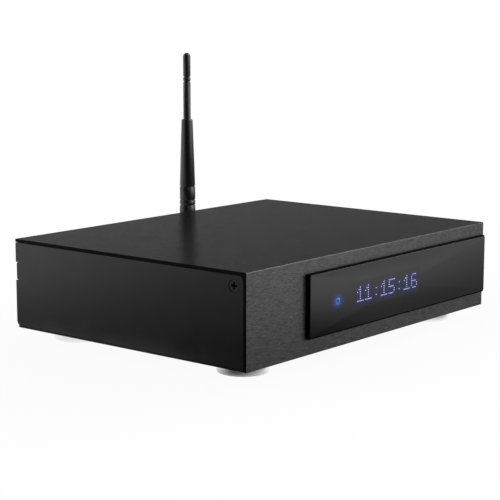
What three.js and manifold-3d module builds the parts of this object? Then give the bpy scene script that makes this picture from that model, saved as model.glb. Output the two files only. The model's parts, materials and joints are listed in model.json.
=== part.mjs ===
// A networked media player with a slide-out tray for a 3.5 inch hard drive, piece by piece.
// Lengths are millimetres. X runs right along the front, Y to the back and Z up.
// Places in the casing are counted from the lower left corner of the front plate's outer face.

import * as THREE from "three";
import { mergeVertices } from "three/addons/utils/BufferGeometryUtils.js";
import Module from "manifold-3d";

// Casing
const electronicsWidth = 94.6;
const casingDepth = 192;
const spaceOverDrive = 7.6;
const shellWall = 2;
const shellEdge = 0.7;
const panelThickness = 3;
const panelCorner = 3;
const panelFoot = 0.8;
const baseThickness = 1.2;
const baseInset = 0.5;
const rearThickness = 1.2;
const rearInset = 0.5;
const sheet = 1.2;

// Gaps
const seatGap = 0.3;
const slideGap = 0.3;
const cutGap = 0.4;
const tapeThickness = 0.2;
const overrun = 1;
const bite = 0.2;

// Screw port in the upper front corner of the shell, and the ledge over the base plate
const screwFromFront = 9.2;
const screwFromTop = 8.5;
const portRadius = 3.2;
const portBore = 1.9;
const portSlot = 1.6;
const portWeb = 1.8;
const ledgeDepth = 4;
const ledgeThickness = 1.2;

// Countersunk screws of the side panels
const screwHeadRadius = 3.6;
const screwHeadDepth = 1.9;
const screwShankRadius = 1.5;
const screwShankLength = 9;
const screwRecess = 0.3;
const crossLength = 4.6;
const crossWidth = 1;
const crossDepth = 1.1;
const rearTabDepth = 12;
const rearTabHeight = 10;
const rearFlange = 6;

// Notch in the rear edge of the tray face, which a tab of the rear panel fills
const notchDepth = 2;
const notchHeight = 11.8;
const notchFromBottom = 31;
const notchCorner = 0.9;
const notchGap = 0.7;

// Display block, its board and what stands on that
const displayFromRight = 2;
const displayWidth = 199.6;
const displayFromBottom = 9.9;
const displayHeight = 39.4;
const displayDepth = 3.3;
const displayCorner = 1;
const displayEdge = 0.4;
const displayEndRound = 1;
const windowLip = 2;
const windowHeight = 17;
const ringFromEdge = 27.9;
const ringOuter = 2.6;
const ringInner = 1.7;
const receiverAside = 5.5;
const receiverRadius = 2.6;
const receiverWidth = 7;
const receiverHeight = 8;
const receiverDepth = 3;
const tubeFromRing = 12.7;
const tubeWidth = 86;
const tubeHeight = 22;
const tubeDepth = 5;
const nippleRadius = 1.25;
const nippleLength = 2.5;
const displayBoardMargin = 11;
const displayBoardHeight = 30;
const displayStudRadius = 2.4;
const displayStudInset = 4;
const boardThickness = 1.6;

// Feet
const footFromSide = 29.2;
const footFromEnd = 26.7;
const footRadius = 16;
const footHeight = 8.9;
const footRound = 2;
const footTopBevel = 0.5;
const padRadius = 12.5;
const padThickness = 1.5;
const padProud = 0.5;
const footScrewHead = 3.5;
const footScrewHeadDepth = 2.4;
const footScrewRadius = 2;
const footBossRadius = 4;
const footBossHeight = 2.5;

// Base plate vents, in slots
const ventLength = 22;
const ventWidth = 3;
const ventPitch = 8;
const ventRowPitch = 28;
const ventRows = 3;
const ventColumns = 6;

// 3.5 inch drive and its mounting holes, counted from its connector end
const driveWidth = 101.6;
const driveLength = 147;
const driveHeight = 26.1;
const driveGap = 0.4;
const sideHoleHeight = 6.35;
const sideHoleFirst = 28.5;
const sideHolePitch = 50.8;
const sideHoles = 3;
const bottomHoleFirst = 41.28;
const bottomHolePitch = 44.45;
const bottomHoleInset = 3.18;
const driveHoleRadius = 1.9;

// Tray, rails and bay cage
const cageClear = 0.6;
const railWall = 1.6;
const railLip = 1.5;
const runnerWidth = 3;
const trayLift = 1.3;
const trayWallHeight = 14;
const flangeBelowDrive = 0.6;
const windowSide = 24;
const windowRound = 4;
const trayWindowPitch = 44;
const sheetRound = 2;
const boardHeadroom = 9.9;
const cageFlange = 7;
const cageBackLeg = 84;
const cageWindowHeight = 8;
const cageWindowPitch = 46;
const windowColumns = 3;
const windowRows = 2;
const plugNose = 4;
const plugNoseWidth = 33;
const plugNoseHeight = 3;
const plugBodyWidth = 39;
const plugBodyDepth = 5.8;
const plugBodyHeight = 7;
const plugOffset = 13;
const backplaneWidth = 62;
const backplaneHeight = 24;

// Main board
const standoffHeight = 5;
const standoffRadius = 3;
const mainBoardFromFan = 29;
const mainBoardFromRight = 6;
const mainBoardFromFront = 30;
const mainBoardRearGap = 2;
const mainBoardHoleInset = 8;
const chipSide = 17;
const chipHeight = 1.5;
const memoryWidth = 8;
const memoryLength = 12;
const memoryHeight = 1.2;
const memoryPitch = 14;
const capacitorRadius = 3.2;
const capacitorHeight = 8;
const capacitorPitch = 9;
const capacitors = 3;
const shieldSide = 13;
const shieldAside = 13;
const shieldSetback = 26;
const shieldHeight = 2.4;
const headerWidth = 8;
const headerDepth = 5;
const headerHeight = 5;
const headerInset = 1;
const ribbonSocketWidth = 15;
const ribbonSocketDepth = 5;
const ribbonSocketHeight = 2.6;
const ribbonSocketInset = 1;
const ribbonSocketRise = 3;

// Heatsink
const sinkLength = 40;
const sinkBase = 2.4;
const sinkHeight = 15;
const finThickness = 1.2;
const finCount = 9;

// Fan behind the grille
const fanSide = 40;
const fanDepth = 10;
const fanCorner = 3;
const fanBore = 19;
const fanHoleInset = 4;
const fanHoleRadius = 1.7;
const fanHub = 9.5;
const fanHubDepth = 7;
const fanMotorDepth = 1.8;
const fanStrut = 2;
const fanStruts = 3;
const fanBladeTip = 18.2;
const fanBlades = 7;
const fanBladeRoot = 1;
const fanBladeThickness = 0.9;
const fanBladeLead = 7.5;
const fanShaftRadius = 1;
const fanFromLeft = 45;
const fanFromBottom = 28.5;
const grilleBar = 2.2;
const grilleSlot = 2.6;
const grilleHub = 4.5;
const grilleRings = 3;
const grilleSpokes = 4;

// Sockets in the rear panel, each place counted from the casing's right side
const socketBack = 1.8;
const pinRecess = 1;
const switchFromRight = 18;
const switchFromBottom = 37;
const switchWidth = 13.4;
const switchHeight = 19.4;
const switchDepth = 13;
const bezelWidth = 15;
const bezelHeight = 21;
const bezelDepth = 1.5;
const rockerWidth = 10;
const rockerHeight = 15;
const rockerDepth = 4.2;
const rockerWaist = 0.2;
const rockerFoot = 6;
const rockerPocket = 8;
const rockerPivotDepth = 1.2;
const trunnionRadius = 1;
const trunnionReach = 1;
const powerFromRight = 18;
const powerWidth = 9;
const powerHeight = 11;
const powerDepth = 14;
const powerBore = 3.2;
const powerBoreDepth = 9;
const powerPin = 1;
const usbStackFromRight = 40;
const usbWidth = 13.2;
const usbHeight = 5.8;
const usbStackHeight = 15.6;
const usbDepth = 15;
const usbWall = 0.4;
const usbTongue = 1.8;
const usbTongueWidth = 11.1;
const networkFromRight = 61;
const networkWidth = 16;
const networkHeight = 13.4;
const networkDepth = 18;
const networkCavityWidth = 11.8;
const networkCavityHeight = 8;
const networkCavityDepth = 13;
const networkKeyWidth = 6;
const networkKeyHeight = 2.2;
const networkFloor = 1.6;
const videoFromRight = 82;
const videoWidth = 15;
const videoHeight = 6;
const videoDepth = 11.5;
const videoCavityWidth = 14;
const videoCavityHeight = 4.6;
const videoCavityDepth = 8.5;
const videoBevel = 1.4;
const videoTongueWidth = 10.6;
const videoTongue = 1;
const opticalFromRight = 99;
const opticalSide = 9.7;
const opticalHeight = 10;
const opticalDepth = 13.5;
const opticalRecess = 7.2;
const opticalRecessDepth = 1.4;
const audioFromRight = 113;
const audioWidth = 7;
const audioHeight = 6.6;
const audioDepth = 13;
const audioBarrel = 3;
const audioBore = 1.8;
const audioBarrelLength = 2.2;

// Sockets in the right side, each place counted from the front
const usbSideFirst = 96;
const usbSidePitch = 22;
const cardFromFront = 62;
const cardWidth = 28;
const cardHeight = 3.4;
const cardDepth = 27;
const cardSlotWidth = 24.6;
const cardSlotHeight = 2.3;
const sideVentWidth = 2.2;
const sideVentHeight = 12;
const sideVentPitch = 5.5;
const sideVentCount = 11;
const sideVentFromBottom = 38;

// Antenna
const antennaFromRight = 72;
const antennaFromBottom = 36;
const antennaBehind = 17;
const connectorRadius = 3.2;
const connectorInside = 11;
const connectorThread = 9.2;
const connectorCollarRadius = 4.6;
const connectorCollarDepth = 2.2;
const connectorBore = 2.3;
const connectorBoreDepth = 5;
const bulkheadNutAcross = 8;
const bulkheadNutDepth = 2;
const couplingRadius = 5.2;
const couplingLength = 8;
const couplingLip = 1;
const couplingFlutes = 12;
const couplingFluteRadius = 0.6;
const stemRadius = 2.4;
const elbowRadius = 6.2;
const elbowCollar = 1.8;
const contactRadius = 0.9;
const contactReach = 3;
const cheekRadius = 5.3;
const cheekInner = 2.8;
const cheekOuter = 5.8;
const tongueRadius = 4.3;
const hingePinRadius = 1.5;
const hingePinLength = 12.4;
const sleeveLift = 7;
const sleeveFootRadius = 6.25;
const sleeveRingRadius = 5.75;
const sleeveTopRadius = 4.1;
const sleeveTopRound = 0.6;
const sleeveFootBevel = 0.4;
const sleeveRingHeights = [23.3, 27.1, 37.1];
const sleeveTop = 86.4;
const grooveDepth = 0.5;
const grooveWidth = 0.9;
const rodRadius = 2.7;
const rodSeat = 4;
const rodGrooveHeights = [114, 117.4];
const antennaTip = 134.8;

// Cables inside
const fanLeadRadius = 1.2;
const fanLeadReach = 7;
const antennaLeadRadius = 0.9;
const ribbonWidth = 11;
const ribbonThickness = 0.5;
const ribbonBend = 3.5;
const ribbonAside = 6;
const driveCableWidth = 14;
const driveCableThickness = 0.8;
const driveCableBend = 2.4;
const driveCableAside = 6;
const driveCableRise = 16;
const driveCableSocket = 2.5;
const antennaLeadReach = 8;
const antennaLeadDrop = 12;

// Numbers of sides and steps of round forms
const roundSides = 24;
const smallSides = 16;
const tinySides = 12;
const footSides = 20;
const nutSides = 6;
const fluteSides = 6;
const arcSteps = 2;
const holeSteps = 1;
const leadSides = 8;
const leadSteps = 14;
const tipSteps = 3;

// Shares
const slotFacetShare = 0.35;
const sinkWidthShare = 0.72;
const chipDepthShare = 0.48;

// Angles
const quarterTurn = Math.PI / 2;
const fullTurn = Math.PI * 2;
const rockerTilt = THREE.MathUtils.degToRad(11);
const bladeSpan = THREE.MathUtils.degToRad(34);
const grilleSpokeSpan = THREE.MathUtils.degToRad(14);

// Places that follow from the sizes above: heights and depths
const innerLeft = panelThickness + seatGap;
const panelFront = shellWall + seatGap;
const panelBottom = baseThickness + seatGap;
const rearOuter = casingDepth - rearInset;
const rearInner = rearOuter - rearThickness;
const boardBottom = baseThickness + standoffHeight + seatGap;
const boardTop = boardBottom + boardThickness;
const partHeight = boardTop + seatGap;
const mainBoardRear = rearInner - mainBoardRearGap;
const fanRear = rearInner - seatGap;
const fanFront = fanRear - fanDepth;

// Drive bay
const cageFront = screwFromFront + portRadius + cageClear;
const railWidth = railWall + runnerWidth;
const railFront = cageFront + sheet + seatGap;
const trayFront = railFront + railWidth + slideGap;
const driveFront = trayFront + sheet + driveGap;
const driveRear = driveFront + driveWidth;
const trayRear = driveRear + driveGap + sheet;
const railRear = trayRear + slideGap;
const cageRear = railRear + railWidth + seatGap + sheet;
const cageFloor = boardTop + boardHeadroom;
const trayFloor = cageFloor + sheet + trayLift;
const driveBottom = trayFloor + sheet + seatGap;
const driveTop = driveBottom + driveHeight;
const trayWallTop = trayFloor + trayWallHeight;
const railBottom = trayWallTop - sheet - slideGap - railLip;
const railTop = trayWallTop + slideGap + railLip;
const cageTop = railTop + sheet;
const cageLeft = innerLeft + seatGap;
const driveLeft = innerLeft + sheet + driveGap;
const driveRight = driveLeft + driveLength;
const plugFace = driveRight + seatGap;
const backplaneLeft = plugFace + plugBodyDepth + seatGap;
const backplaneRight = backplaneLeft + boardThickness;
const cageEndLeft = backplaneRight + seatGap;
const cageRight = cageEndLeft + sheet;
const plugCentre = middle(driveFront, driveRear) + plugOffset;

// The casing is as wide as the drive bay and the electronics beside it, and closes over the drive
const casingWidth = cageRight + electronicsWidth;
const shellUnderside = driveTop + spaceOverDrive;
const casingHeight = shellUnderside + shellWall;
const panelTop = shellUnderside - seatGap;
const screwHeight = casingHeight - screwFromTop;
const innerRight = casingWidth - innerLeft;
const mainBoardLeft = fanFromLeft + fanSide / 2 + mainBoardFromFan;
const mainBoardRight = casingWidth - mainBoardFromRight;
const cardLeft = innerRight - seatGap - cardDepth;

// Display, whose board reaches under the receiver and the ribbon's socket
const displayRight = casingWidth - displayFromRight;
const displayLeft = displayRight - displayWidth;
const displayMiddle = displayFromBottom + displayHeight / 2;
const displayTubeRear = shellWall + seatGap + tubeDepth;
const displayBoardFront = displayTubeRear + seatGap;
const displayBoardRear = displayBoardFront + boardThickness;
const ringX = displayLeft + ringFromEdge;
const tubeLeft = ringX + tubeFromRing;
const tubeRight = tubeLeft + tubeWidth;
const receiverX = tubeRight + receiverAside + receiverWidth / 2;
const ribbonX = cageRight + ribbonAside + ribbonSocketWidth / 2;
const displayBoardLeft = ringX - displayBoardMargin;
const displayBoardRight = Math.max(receiverX, ribbonX) + displayBoardMargin;

// Cables, chip and heatsink
const ribbonSocketBottom = displayMiddle - displayBoardHeight / 2 + ribbonSocketRise;
const ribbonSocketHeights = [ribbonSocketBottom, ribbonSocketBottom + ribbonSocketDepth];
const driveCableX = cageRight + driveCableAside;
const driveCableHeight = driveBottom + driveCableRise;
const cableSocketRight = driveCableX + headerDepth / 2;
const chipX = middle(cableSocketRight, cardLeft);
const chipY = casingDepth * chipDepthShare;
const sinkWidth = (cardLeft - cableSocketRight) * sinkWidthShare;

// Power switch
const switchX = casingWidth - switchFromRight;
const bezelRear = rearOuter + seatGap + bezelDepth;
const rockerY = bezelRear - rockerPivotDepth;
const rockerTip = (rockerHeight / 2) * Math.tan(rockerTilt) + rockerWaist;

// Antenna
const antennaX = casingWidth - antennaFromRight;
const antennaY = casingDepth + antennaBehind;
const connectorEnd = rearOuter + connectorThread;
const couplingFront = rearOuter + seatGap + bulkheadNutDepth + seatGap;
const couplingRear = couplingFront + couplingLength;
const elbowFront = couplingRear + slideGap;
const elbowRear = elbowFront + elbowCollar;
const hingeBore = hingePinRadius + seatGap;

const unitX = new THREE.Vector3(1, 0, 0);
const unitY = new THREE.Vector3(0, 1, 0);
const unitZ = new THREE.Vector3(0, 0, 1);

const wasm = await Module();
wasm.setup();

// Solids

// The closed solid that a geometry's faces hold.
function solidFrom(geometry) {
  const bare = new THREE.BufferGeometry();
  bare.setAttribute("position", geometry.getAttribute("position"));
  bare.setIndex(geometry.getIndex());
  const merged = mergeVertices(bare);
  const vertProperties = merged.getAttribute("position").array;
  const triVerts = Uint32Array.from(merged.getIndex().array);
  return new wasm.Manifold(new wasm.Mesh({ numProp: 3, vertProperties, triVerts }));
}

// A solid's faces as a flat-shaded geometry.
function geometryFrom(solid) {
  const mesh = solid.getMesh();
  const geometry = new THREE.BufferGeometry();
  geometry.setAttribute("position", new THREE.BufferAttribute(mesh.vertProperties, mesh.numProp));
  geometry.setIndex(new THREE.BufferAttribute(mesh.triVerts, 1));
  const faceted = geometry.toNonIndexed();
  faceted.computeVertexNormals();
  return faceted;
}

function join(first, ...others) {
  return others.reduce((whole, other) => whole.add(other), first);
}

function cut(first, ...others) {
  return others.reduce((whole, other) => whole.subtract(other), first);
}

function middle(from, to) {
  return (from + to) / 2;
}

// A rectangular block between pairs of faces along X, Y and Z.
function block([left, right], [front, rear], [bottom, top]) {
  const geometry = new THREE.BoxGeometry(right - left, rear - front, top - bottom);
  geometry.translate(middle(left, right), middle(front, rear), middle(bottom, top));
  return solidFrom(geometry);
}

// A closed path carried along its own depth and then turned into place.
function prism(path, start, end, turn, steps) {
  const shape = new THREE.Shape(path.getPoints(steps));
  const geometry = new THREE.ExtrudeGeometry(shape, { depth: end - start, bevelEnabled: false });
  geometry.translate(0, 0, start);
  geometry.applyMatrix4(turn);
  return solidFrom(geometry);
}

// An outline as a prism, with its holes cut through.
function carried(outline, start, end, turn) {
  const cutters = outline.holes.map((hole) => prism(hole, start - overrun, end + overrun, turn, holeSteps));
  return cut(prism(outline, start, end, turn, arcSteps), ...cutters);
}

// An outline in Y and Z, carried along X.
function alongX(outline, from, to) {
  return carried(outline, from, to, new THREE.Matrix4().makeBasis(unitY, unitZ, unitX));
}

// An outline in X and Z, carried along Y.
function alongY(outline, from, to) {
  return carried(outline, -to, -from, new THREE.Matrix4().makeBasis(unitX, unitZ, unitY.clone().negate()));
}

// An outline in X and Y, carried up Z.
function alongZ(outline, from, to) {
  return carried(outline, from, to, new THREE.Matrix4());
}

// Rods along the three directions; a second radius at the far end makes a cone.
function rodX([from, to], y, z, radius, sides = smallSides, farRadius = radius) {
  const geometry = new THREE.CylinderGeometry(farRadius, radius, to - from, sides);
  geometry.rotateZ(-quarterTurn);
  geometry.translate(middle(from, to), y, z);
  return solidFrom(geometry);
}

function rodY([from, to], x, z, radius, sides = smallSides, farRadius = radius) {
  const geometry = new THREE.CylinderGeometry(farRadius, radius, to - from, sides);
  geometry.translate(x, middle(from, to), z);
  return solidFrom(geometry);
}

function rodZ([from, to], x, y, radius, sides = smallSides, farRadius = radius) {
  const geometry = new THREE.CylinderGeometry(farRadius, radius, to - from, sides);
  geometry.rotateX(quarterTurn);
  geometry.translate(x, y, middle(from, to));
  return solidFrom(geometry);
}

// A profile of radius and height, from the axis at its foot to the axis at its head, turned about Z.
function turned(profile, sides) {
  const points = profile.map(([radius, height]) => new THREE.Vector2(radius, height));
  const geometry = new THREE.LatheGeometry(points, sides);
  geometry.rotateX(quarterTurn);
  return solidFrom(geometry);
}

// A tube along a smooth curve through points.
function lead(points, radius) {
  const path = new THREE.CatmullRomCurve3(points.map((point) => new THREE.Vector3(...point)));
  const section = new THREE.Shape();
  for (let side = 0; side < leadSides; side += 1) {
    const turn = (side * fullTurn) / leadSides;
    section.lineTo(radius * Math.cos(turn), radius * Math.sin(turn));
  }
  const options = { steps: leadSteps, extrudePath: path };
  return solidFrom(new THREE.ExtrudeGeometry(section, options));
}

// Outlines

// A rectangle whose corners are rounded by radii given from the lower left, counterclockwise.
function roundedOutline([left, right], [low, high], radii) {
  const [lowLeft, lowRight, highRight, highLeft] = radii;
  const corners = [
    [right - lowRight, low + lowRight, lowRight, -quarterTurn],
    [right - highRight, high - highRight, highRight, 0],
    [left + highLeft, high - highLeft, highLeft, quarterTurn],
    [left + lowLeft, low + lowLeft, lowLeft, Math.PI],
  ];
  const outline = new THREE.Shape();
  outline.moveTo(left + lowLeft, low);
  for (const [x, y, radius, start] of corners) {
    if (radius > 0) {
      outline.absarc(x, y, radius, start, start + quarterTurn);
    } else {
      outline.lineTo(x, y);
    }
  }
  return outline;
}

function evenOutline(across, up, radius) {
  return roundedOutline(across, up, [radius, radius, radius, radius]);
}

// A slot, longer along its second direction, with its ends narrowed in straight facets.
function slotOutline(x, y, width, length) {
  const facet = width * slotFacetShare;
  const [left, right] = around(x, width);
  const [low, high] = around(y, length);
  const outline = new THREE.Shape();
  outline.moveTo(left + facet, low);
  outline.lineTo(right - facet, low);
  outline.lineTo(right, low + facet);
  outline.lineTo(right, high - facet);
  outline.lineTo(right - facet, high);
  outline.lineTo(left + facet, high);
  outline.lineTo(left, high - facet);
  outline.lineTo(left, low + facet);
  return outline;
}

// Finishes, one material for each piece

function finish(color, roughness, metalness) {
  return () => new THREE.MeshStandardMaterial({ color, roughness, metalness });
}

const anodised = finish(0x3f3f41, 0.45, 0.6);
const panelPaint = finish(0x1e1e1f, 0.7, 0.2);
const glossBlack = finish(0x1d1d1e, 0.12, 0);
const satinBlack = finish(0x121213, 0.5, 0);
const bareSteel = finish(0xa9abac, 0.4, 0.9);
const turnedAluminium = finish(0xd4d5d6, 0.25, 1);
const blackSteel = finish(0x18181a, 0.4, 0.6);
const rubberBlack = finish(0x161616, 0.9, 0);
const circuitGreen = finish(0x14402a, 0.6, 0.1);
const darkGlass = finish(0x0f1613, 0.15, 0);
const clearLight = finish(0x2f6cff, 0.2, 0);
const mouldedBlack = finish(0x1b1b1d, 0.6, 0);
const goldMetal = finish(0xc79a3b, 0.3, 1);
const cableGrey = finish(0x9a9a9a, 0.7, 0);

// Pieces

const casing = new THREE.Group();

function addPiece(name, solid, material, group = casing) {
  const mesh = new THREE.Mesh(geometryFrom(solid), material());
  mesh.name = name;
  group.add(mesh);
}

// A form turned about X, whose profile's heights run inwards from an outer face.
function turnedInwards(profile, face, inward, y, z, sides) {
  const points = profile.map(([radius, height]) => new THREE.Vector2(radius, height));
  const geometry = new THREE.LatheGeometry(points, sides);
  geometry.rotateZ(-inward * quarterTurn);
  geometry.translate(face, y, z);
  return solidFrom(geometry);
}

function span(one, other) {
  return [Math.min(one, other), Math.max(one, other)];
}

function around(centre, width) {
  return [centre - width / 2, centre + width / 2];
}

// The extruded shell: top and front in one section, with a screw port, a ledge and board studs.
function outerShell() {
  const fillet = panelCorner - seatGap;
  const bend = shellUnderside - fillet;
  const section = new THREE.Shape();
  section.moveTo(0, 0);
  section.lineTo(shellWall, 0);
  section.absarc(shellWall + fillet, bend, fillet, Math.PI, quarterTurn, true);
  section.lineTo(casingDepth, shellUnderside);
  section.lineTo(casingDepth, casingHeight);
  section.absarc(shellEdge, casingHeight - shellEdge, shellEdge, quarterTurn, Math.PI);
  const skin = alongX(section, 0, casingWidth);

  const inner = [innerLeft, innerRight];
  const beyond = [innerLeft - overrun, innerRight + overrun];
  const port = rodX(inner, screwFromFront, screwHeight, portRadius);
  const web = block(inner, around(screwFromFront, portWeb), [screwHeight, shellUnderside + bite]);
  const ledgeHeights = [panelBottom, panelBottom + ledgeThickness];
  const ledge = block(inner, [shellWall - bite, shellWall + ledgeDepth], ledgeHeights);
  const bore = rodX(beyond, screwFromFront, screwHeight, portBore, tinySides);
  const slotHeights = [screwHeight - portRadius - overrun, screwHeight];
  const slot = block(beyond, around(screwFromFront, portSlot), slotHeights);

  const through = [-overrun, shellWall + overrun];
  const windowSpan = [tubeLeft + windowLip, tubeRight - windowLip];
  const window = block(windowSpan, through, around(displayMiddle, windowHeight));
  const ringHole = rodY(through, ringX, displayMiddle, ringOuter + cutGap);
  const receiverHole = rodY(through, receiverX, displayMiddle, receiverRadius + cutGap);
  const hollow = cut(join(skin, port, web, ledge), bore, slot, window, ringHole, receiverHole);
  const studLength = [shellWall - bite, displayBoardFront - seatGap];
  const studs = displayStudPlaces().map(([x, z]) => rodY(studLength, x, z, displayStudRadius, tinySides));
  return join(hollow, ...studs);
}

function displayStudPlaces() {
  const left = displayBoardLeft + displayStudInset;
  const right = displayBoardRight - displayStudInset;
  const rise = displayBoardHeight / 2 - displayStudInset;
  const low = displayMiddle - rise;
  const high = displayMiddle + rise;
  return [
    [left, low],
    [right, low],
    [left, high],
    [right, high],
  ];
}

// The outline that both side panels share, in Y and Z.
function sidePanel(from, to) {
  const radii = [panelFoot, panelCorner, panelFoot, panelCorner];
  const outline = roundedOutline([panelFront, casingDepth], [panelBottom, panelTop], radii);
  return alongX(outline, from, to);
}

// The profile of a countersunk screw, or with room round it the hole that takes it.
function countersunkProfile(room, start, end) {
  const head = screwHeadRadius + room;
  const shank = screwShankRadius + room;
  return [
    [0, start],
    [head, start],
    [head, screwRecess + bite],
    [shank, screwRecess + screwHeadDepth],
    [shank, end],
    [0, end],
  ];
}

function countersink(face, inward, y, z) {
  const profile = countersunkProfile(seatGap, -overrun, panelThickness + overrun);
  return turnedInwards(profile, face, inward, y, z, smallSides);
}

function countersunkScrew(face, inward, y, z) {
  const profile = countersunkProfile(0, screwRecess, screwShankLength);
  const screw = turnedInwards(profile, face, inward, y, z, smallSides);
  const depth = span(face, face + inward * (screwRecess + crossDepth));
  const upright = block(depth, around(y, crossWidth), around(z, crossLength));
  const level = block(depth, around(y, crossLength), around(z, crossWidth));
  return cut(screw, upright, level);
}

// The tray's face plate, which is the whole left side of the casing.
function trayFace() {
  const notchSpan = [casingDepth - notchDepth, casingDepth + notchDepth];
  const notchHeights = [notchFromBottom, notchFromBottom + notchHeight];
  const notchOutline = evenOutline(notchSpan, notchHeights, notchCorner);
  const notch = alongX(notchOutline, -overrun, panelThickness + overrun);
  const plate = sidePanel(0, panelThickness);
  return cut(plate, notch, countersink(0, 1, screwFromFront, screwHeight));
}

// The right side, with cut-outs for its sockets and a row of vent slots.
function rightPanel() {
  const plate = sidePanel(casingWidth - panelThickness, casingWidth);
  const through = [casingWidth - panelThickness - overrun, casingWidth + overrun];
  const usbHeights = around(partHeight + usbHeight / 2, usbHeight + 2 * cutGap);
  const usbHoles = usbSidePlaces().map((y) => block(through, around(y, usbWidth + 2 * cutGap), usbHeights));
  const cardHeights = around(partHeight + cardHeight / 2, cardSlotHeight + 2 * cutGap);
  const cardHole = block(through, around(cardFromFront, cardSlotWidth + 2 * cutGap), cardHeights);
  const vents = [];
  for (let i = 0; i < sideVentCount; i += 1) {
    const y = middle(panelFront, casingDepth) + (i - (sideVentCount - 1) / 2) * sideVentPitch;
    const slot = slotOutline(y, sideVentFromBottom, sideVentWidth, sideVentHeight);
    vents.push(alongX(slot, ...through));
  }
  const seats = rightScrewPlaces().map((y) => countersink(casingWidth, -1, y, screwHeight));
  return cut(plate, ...usbHoles, cardHole, ...vents, ...seats);
}

function usbSidePlaces() {
  return [usbSideFirst, usbSideFirst + usbSidePitch];
}

function rightScrewPlaces() {
  return [screwFromFront, rearInner - rearTabDepth / 2];
}

// The base plate with its vents, board standoffs and tapped bosses for the feet.
function basePlate() {
  const across = [baseInset, casingWidth - baseInset];
  const deep = [panelFront, casingDepth - baseInset];
  const outline = evenOutline(across, deep, panelFoot);
  for (let row = 0; row < ventRows; row += 1) {
    for (let column = 0; column < ventColumns; column += 1) {
      const x = middle(cageLeft, mainBoardLeft) + (column - (ventColumns - 1) / 2) * ventPitch;
      const y = casingDepth / 2 + (row - (ventRows - 1) / 2) * ventRowPitch;
      outline.holes.push(slotOutline(x, y, ventWidth, ventLength));
    }
  }
  const plate = alongZ(outline, 0, baseThickness);
  const standoffHeights = [baseThickness - bite, baseThickness + standoffHeight];
  const standoffs = standoffPlaces().map(([x, y]) => rodZ(standoffHeights, x, y, standoffRadius, tinySides));
  const bossHeights = [baseThickness - bite, baseThickness + footBossHeight];
  const bosses = footPlaces().map(([, x, y]) => rodZ(bossHeights, x, y, footBossRadius));
  const boreHeights = [-overrun, baseThickness + footBossHeight + overrun];
  const boreRadius = footScrewRadius + seatGap;
  const bores = footPlaces().map(([, x, y]) => rodZ(boreHeights, x, y, boreRadius, tinySides));
  return cut(join(plate, ...standoffs, ...bosses), ...bores);
}

function standoffPlaces() {
  const left = mainBoardLeft + mainBoardHoleInset;
  const right = mainBoardRight - mainBoardHoleInset;
  const front = mainBoardFromFront + mainBoardHoleInset;
  const rear = mainBoardRear - mainBoardHoleInset;
  return [
    [left, front],
    [right, front],
    [left, rear],
    [right, rear],
  ];
}

function footPlaces() {
  const left = footFromSide;
  const right = casingWidth - footFromSide;
  const front = footFromEnd;
  const rear = casingDepth - footFromEnd;
  return [
    ["front_left", left, front],
    ["front_right", right, front],
    ["rear_left", left, rear],
    ["rear_right", right, rear],
  ];
}

// A turned foot with a recess below for the screw and the pad.
function foot(x, y) {
  const top = -seatGap;
  const bottom = -(footHeight - padProud);
  const profile = new THREE.Path();
  const boreRadius = footScrewRadius + seatGap;
  const headTop = bottom + padThickness + footScrewHeadDepth;
  profile.moveTo(boreRadius, headTop);
  profile.lineTo(footScrewHead + seatGap, headTop);
  profile.lineTo(footScrewHead + seatGap, bottom + padThickness);
  profile.lineTo(padRadius + seatGap, bottom + padThickness);
  profile.lineTo(padRadius + seatGap, bottom);
  profile.absarc(footRadius - footRound, bottom + footRound, footRound, -quarterTurn, 0);
  profile.lineTo(footRadius, top - footTopBevel);
  profile.lineTo(footRadius - footTopBevel, top);
  profile.lineTo(boreRadius, top);
  profile.lineTo(boreRadius, headTop);
  const geometry = new THREE.LatheGeometry(profile.getPoints(holeSteps), footSides);
  geometry.rotateX(quarterTurn);
  geometry.translate(x, y, 0);
  return solidFrom(geometry);
}

function footPad(x, y) {
  const bottom = -footHeight;
  return rodZ([bottom, bottom + padProud + padThickness - seatGap], x, y, padRadius, roundSides);
}

function footScrew(x, y) {
  const headBottom = -footHeight + padProud + padThickness;
  const headTop = headBottom + footScrewHeadDepth - seatGap;
  const head = rodZ([headBottom, headTop], x, y, footScrewHead, tinySides);
  const shank = rodZ([headTop - bite, baseThickness + footBossHeight], x, y, footScrewRadius, tinySides);
  return join(head, shank);
}

// Front

// The glossy block over the display, held off the front by its adhesive tape.
function displayBlock() {
  const rear = -tapeThickness;
  const front = rear - displayDepth;
  const radii = [displayEdge, displayEndRound, displayEdge, displayEdge];
  const plan = roundedOutline([displayLeft, displayRight], [front, rear], radii);
  const heights = [displayFromBottom, displayFromBottom + displayHeight];
  const face = evenOutline([displayLeft, displayRight], heights, displayCorner);
  return alongZ(plan, ...heights).intersect(alongY(face, front - overrun, rear + overrun));
}

// The glass tube of the display, with its getter nipple at one end.
function displayTube() {
  const depth = [shellWall + seatGap, displayTubeRear];
  const body = block([tubeLeft, tubeRight], depth, around(displayMiddle, tubeHeight));
  const nippleSpan = [tubeLeft - nippleLength, tubeLeft + bite];
  return join(body, rodX(nippleSpan, middle(...depth), displayMiddle, nippleRadius));
}

// The ring of clear plastic that carries the stand-by light to the display block.
function lightRing() {
  const length = [seatGap, displayBoardFront - seatGap];
  const beyond = [seatGap - overrun, displayBoardFront + overrun];
  const rod = rodY(length, ringX, displayMiddle, ringOuter);
  return cut(rod, rodY(beyond, ringX, displayMiddle, ringInner));
}

function infraredReceiver() {
  const rear = displayBoardFront - seatGap;
  const across = around(receiverX, receiverWidth);
  const body = block(across, [rear - receiverDepth, rear], around(displayMiddle, receiverHeight));
  return join(body, rodY([seatGap, rear - bite], receiverX, displayMiddle, receiverRadius));
}

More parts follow.
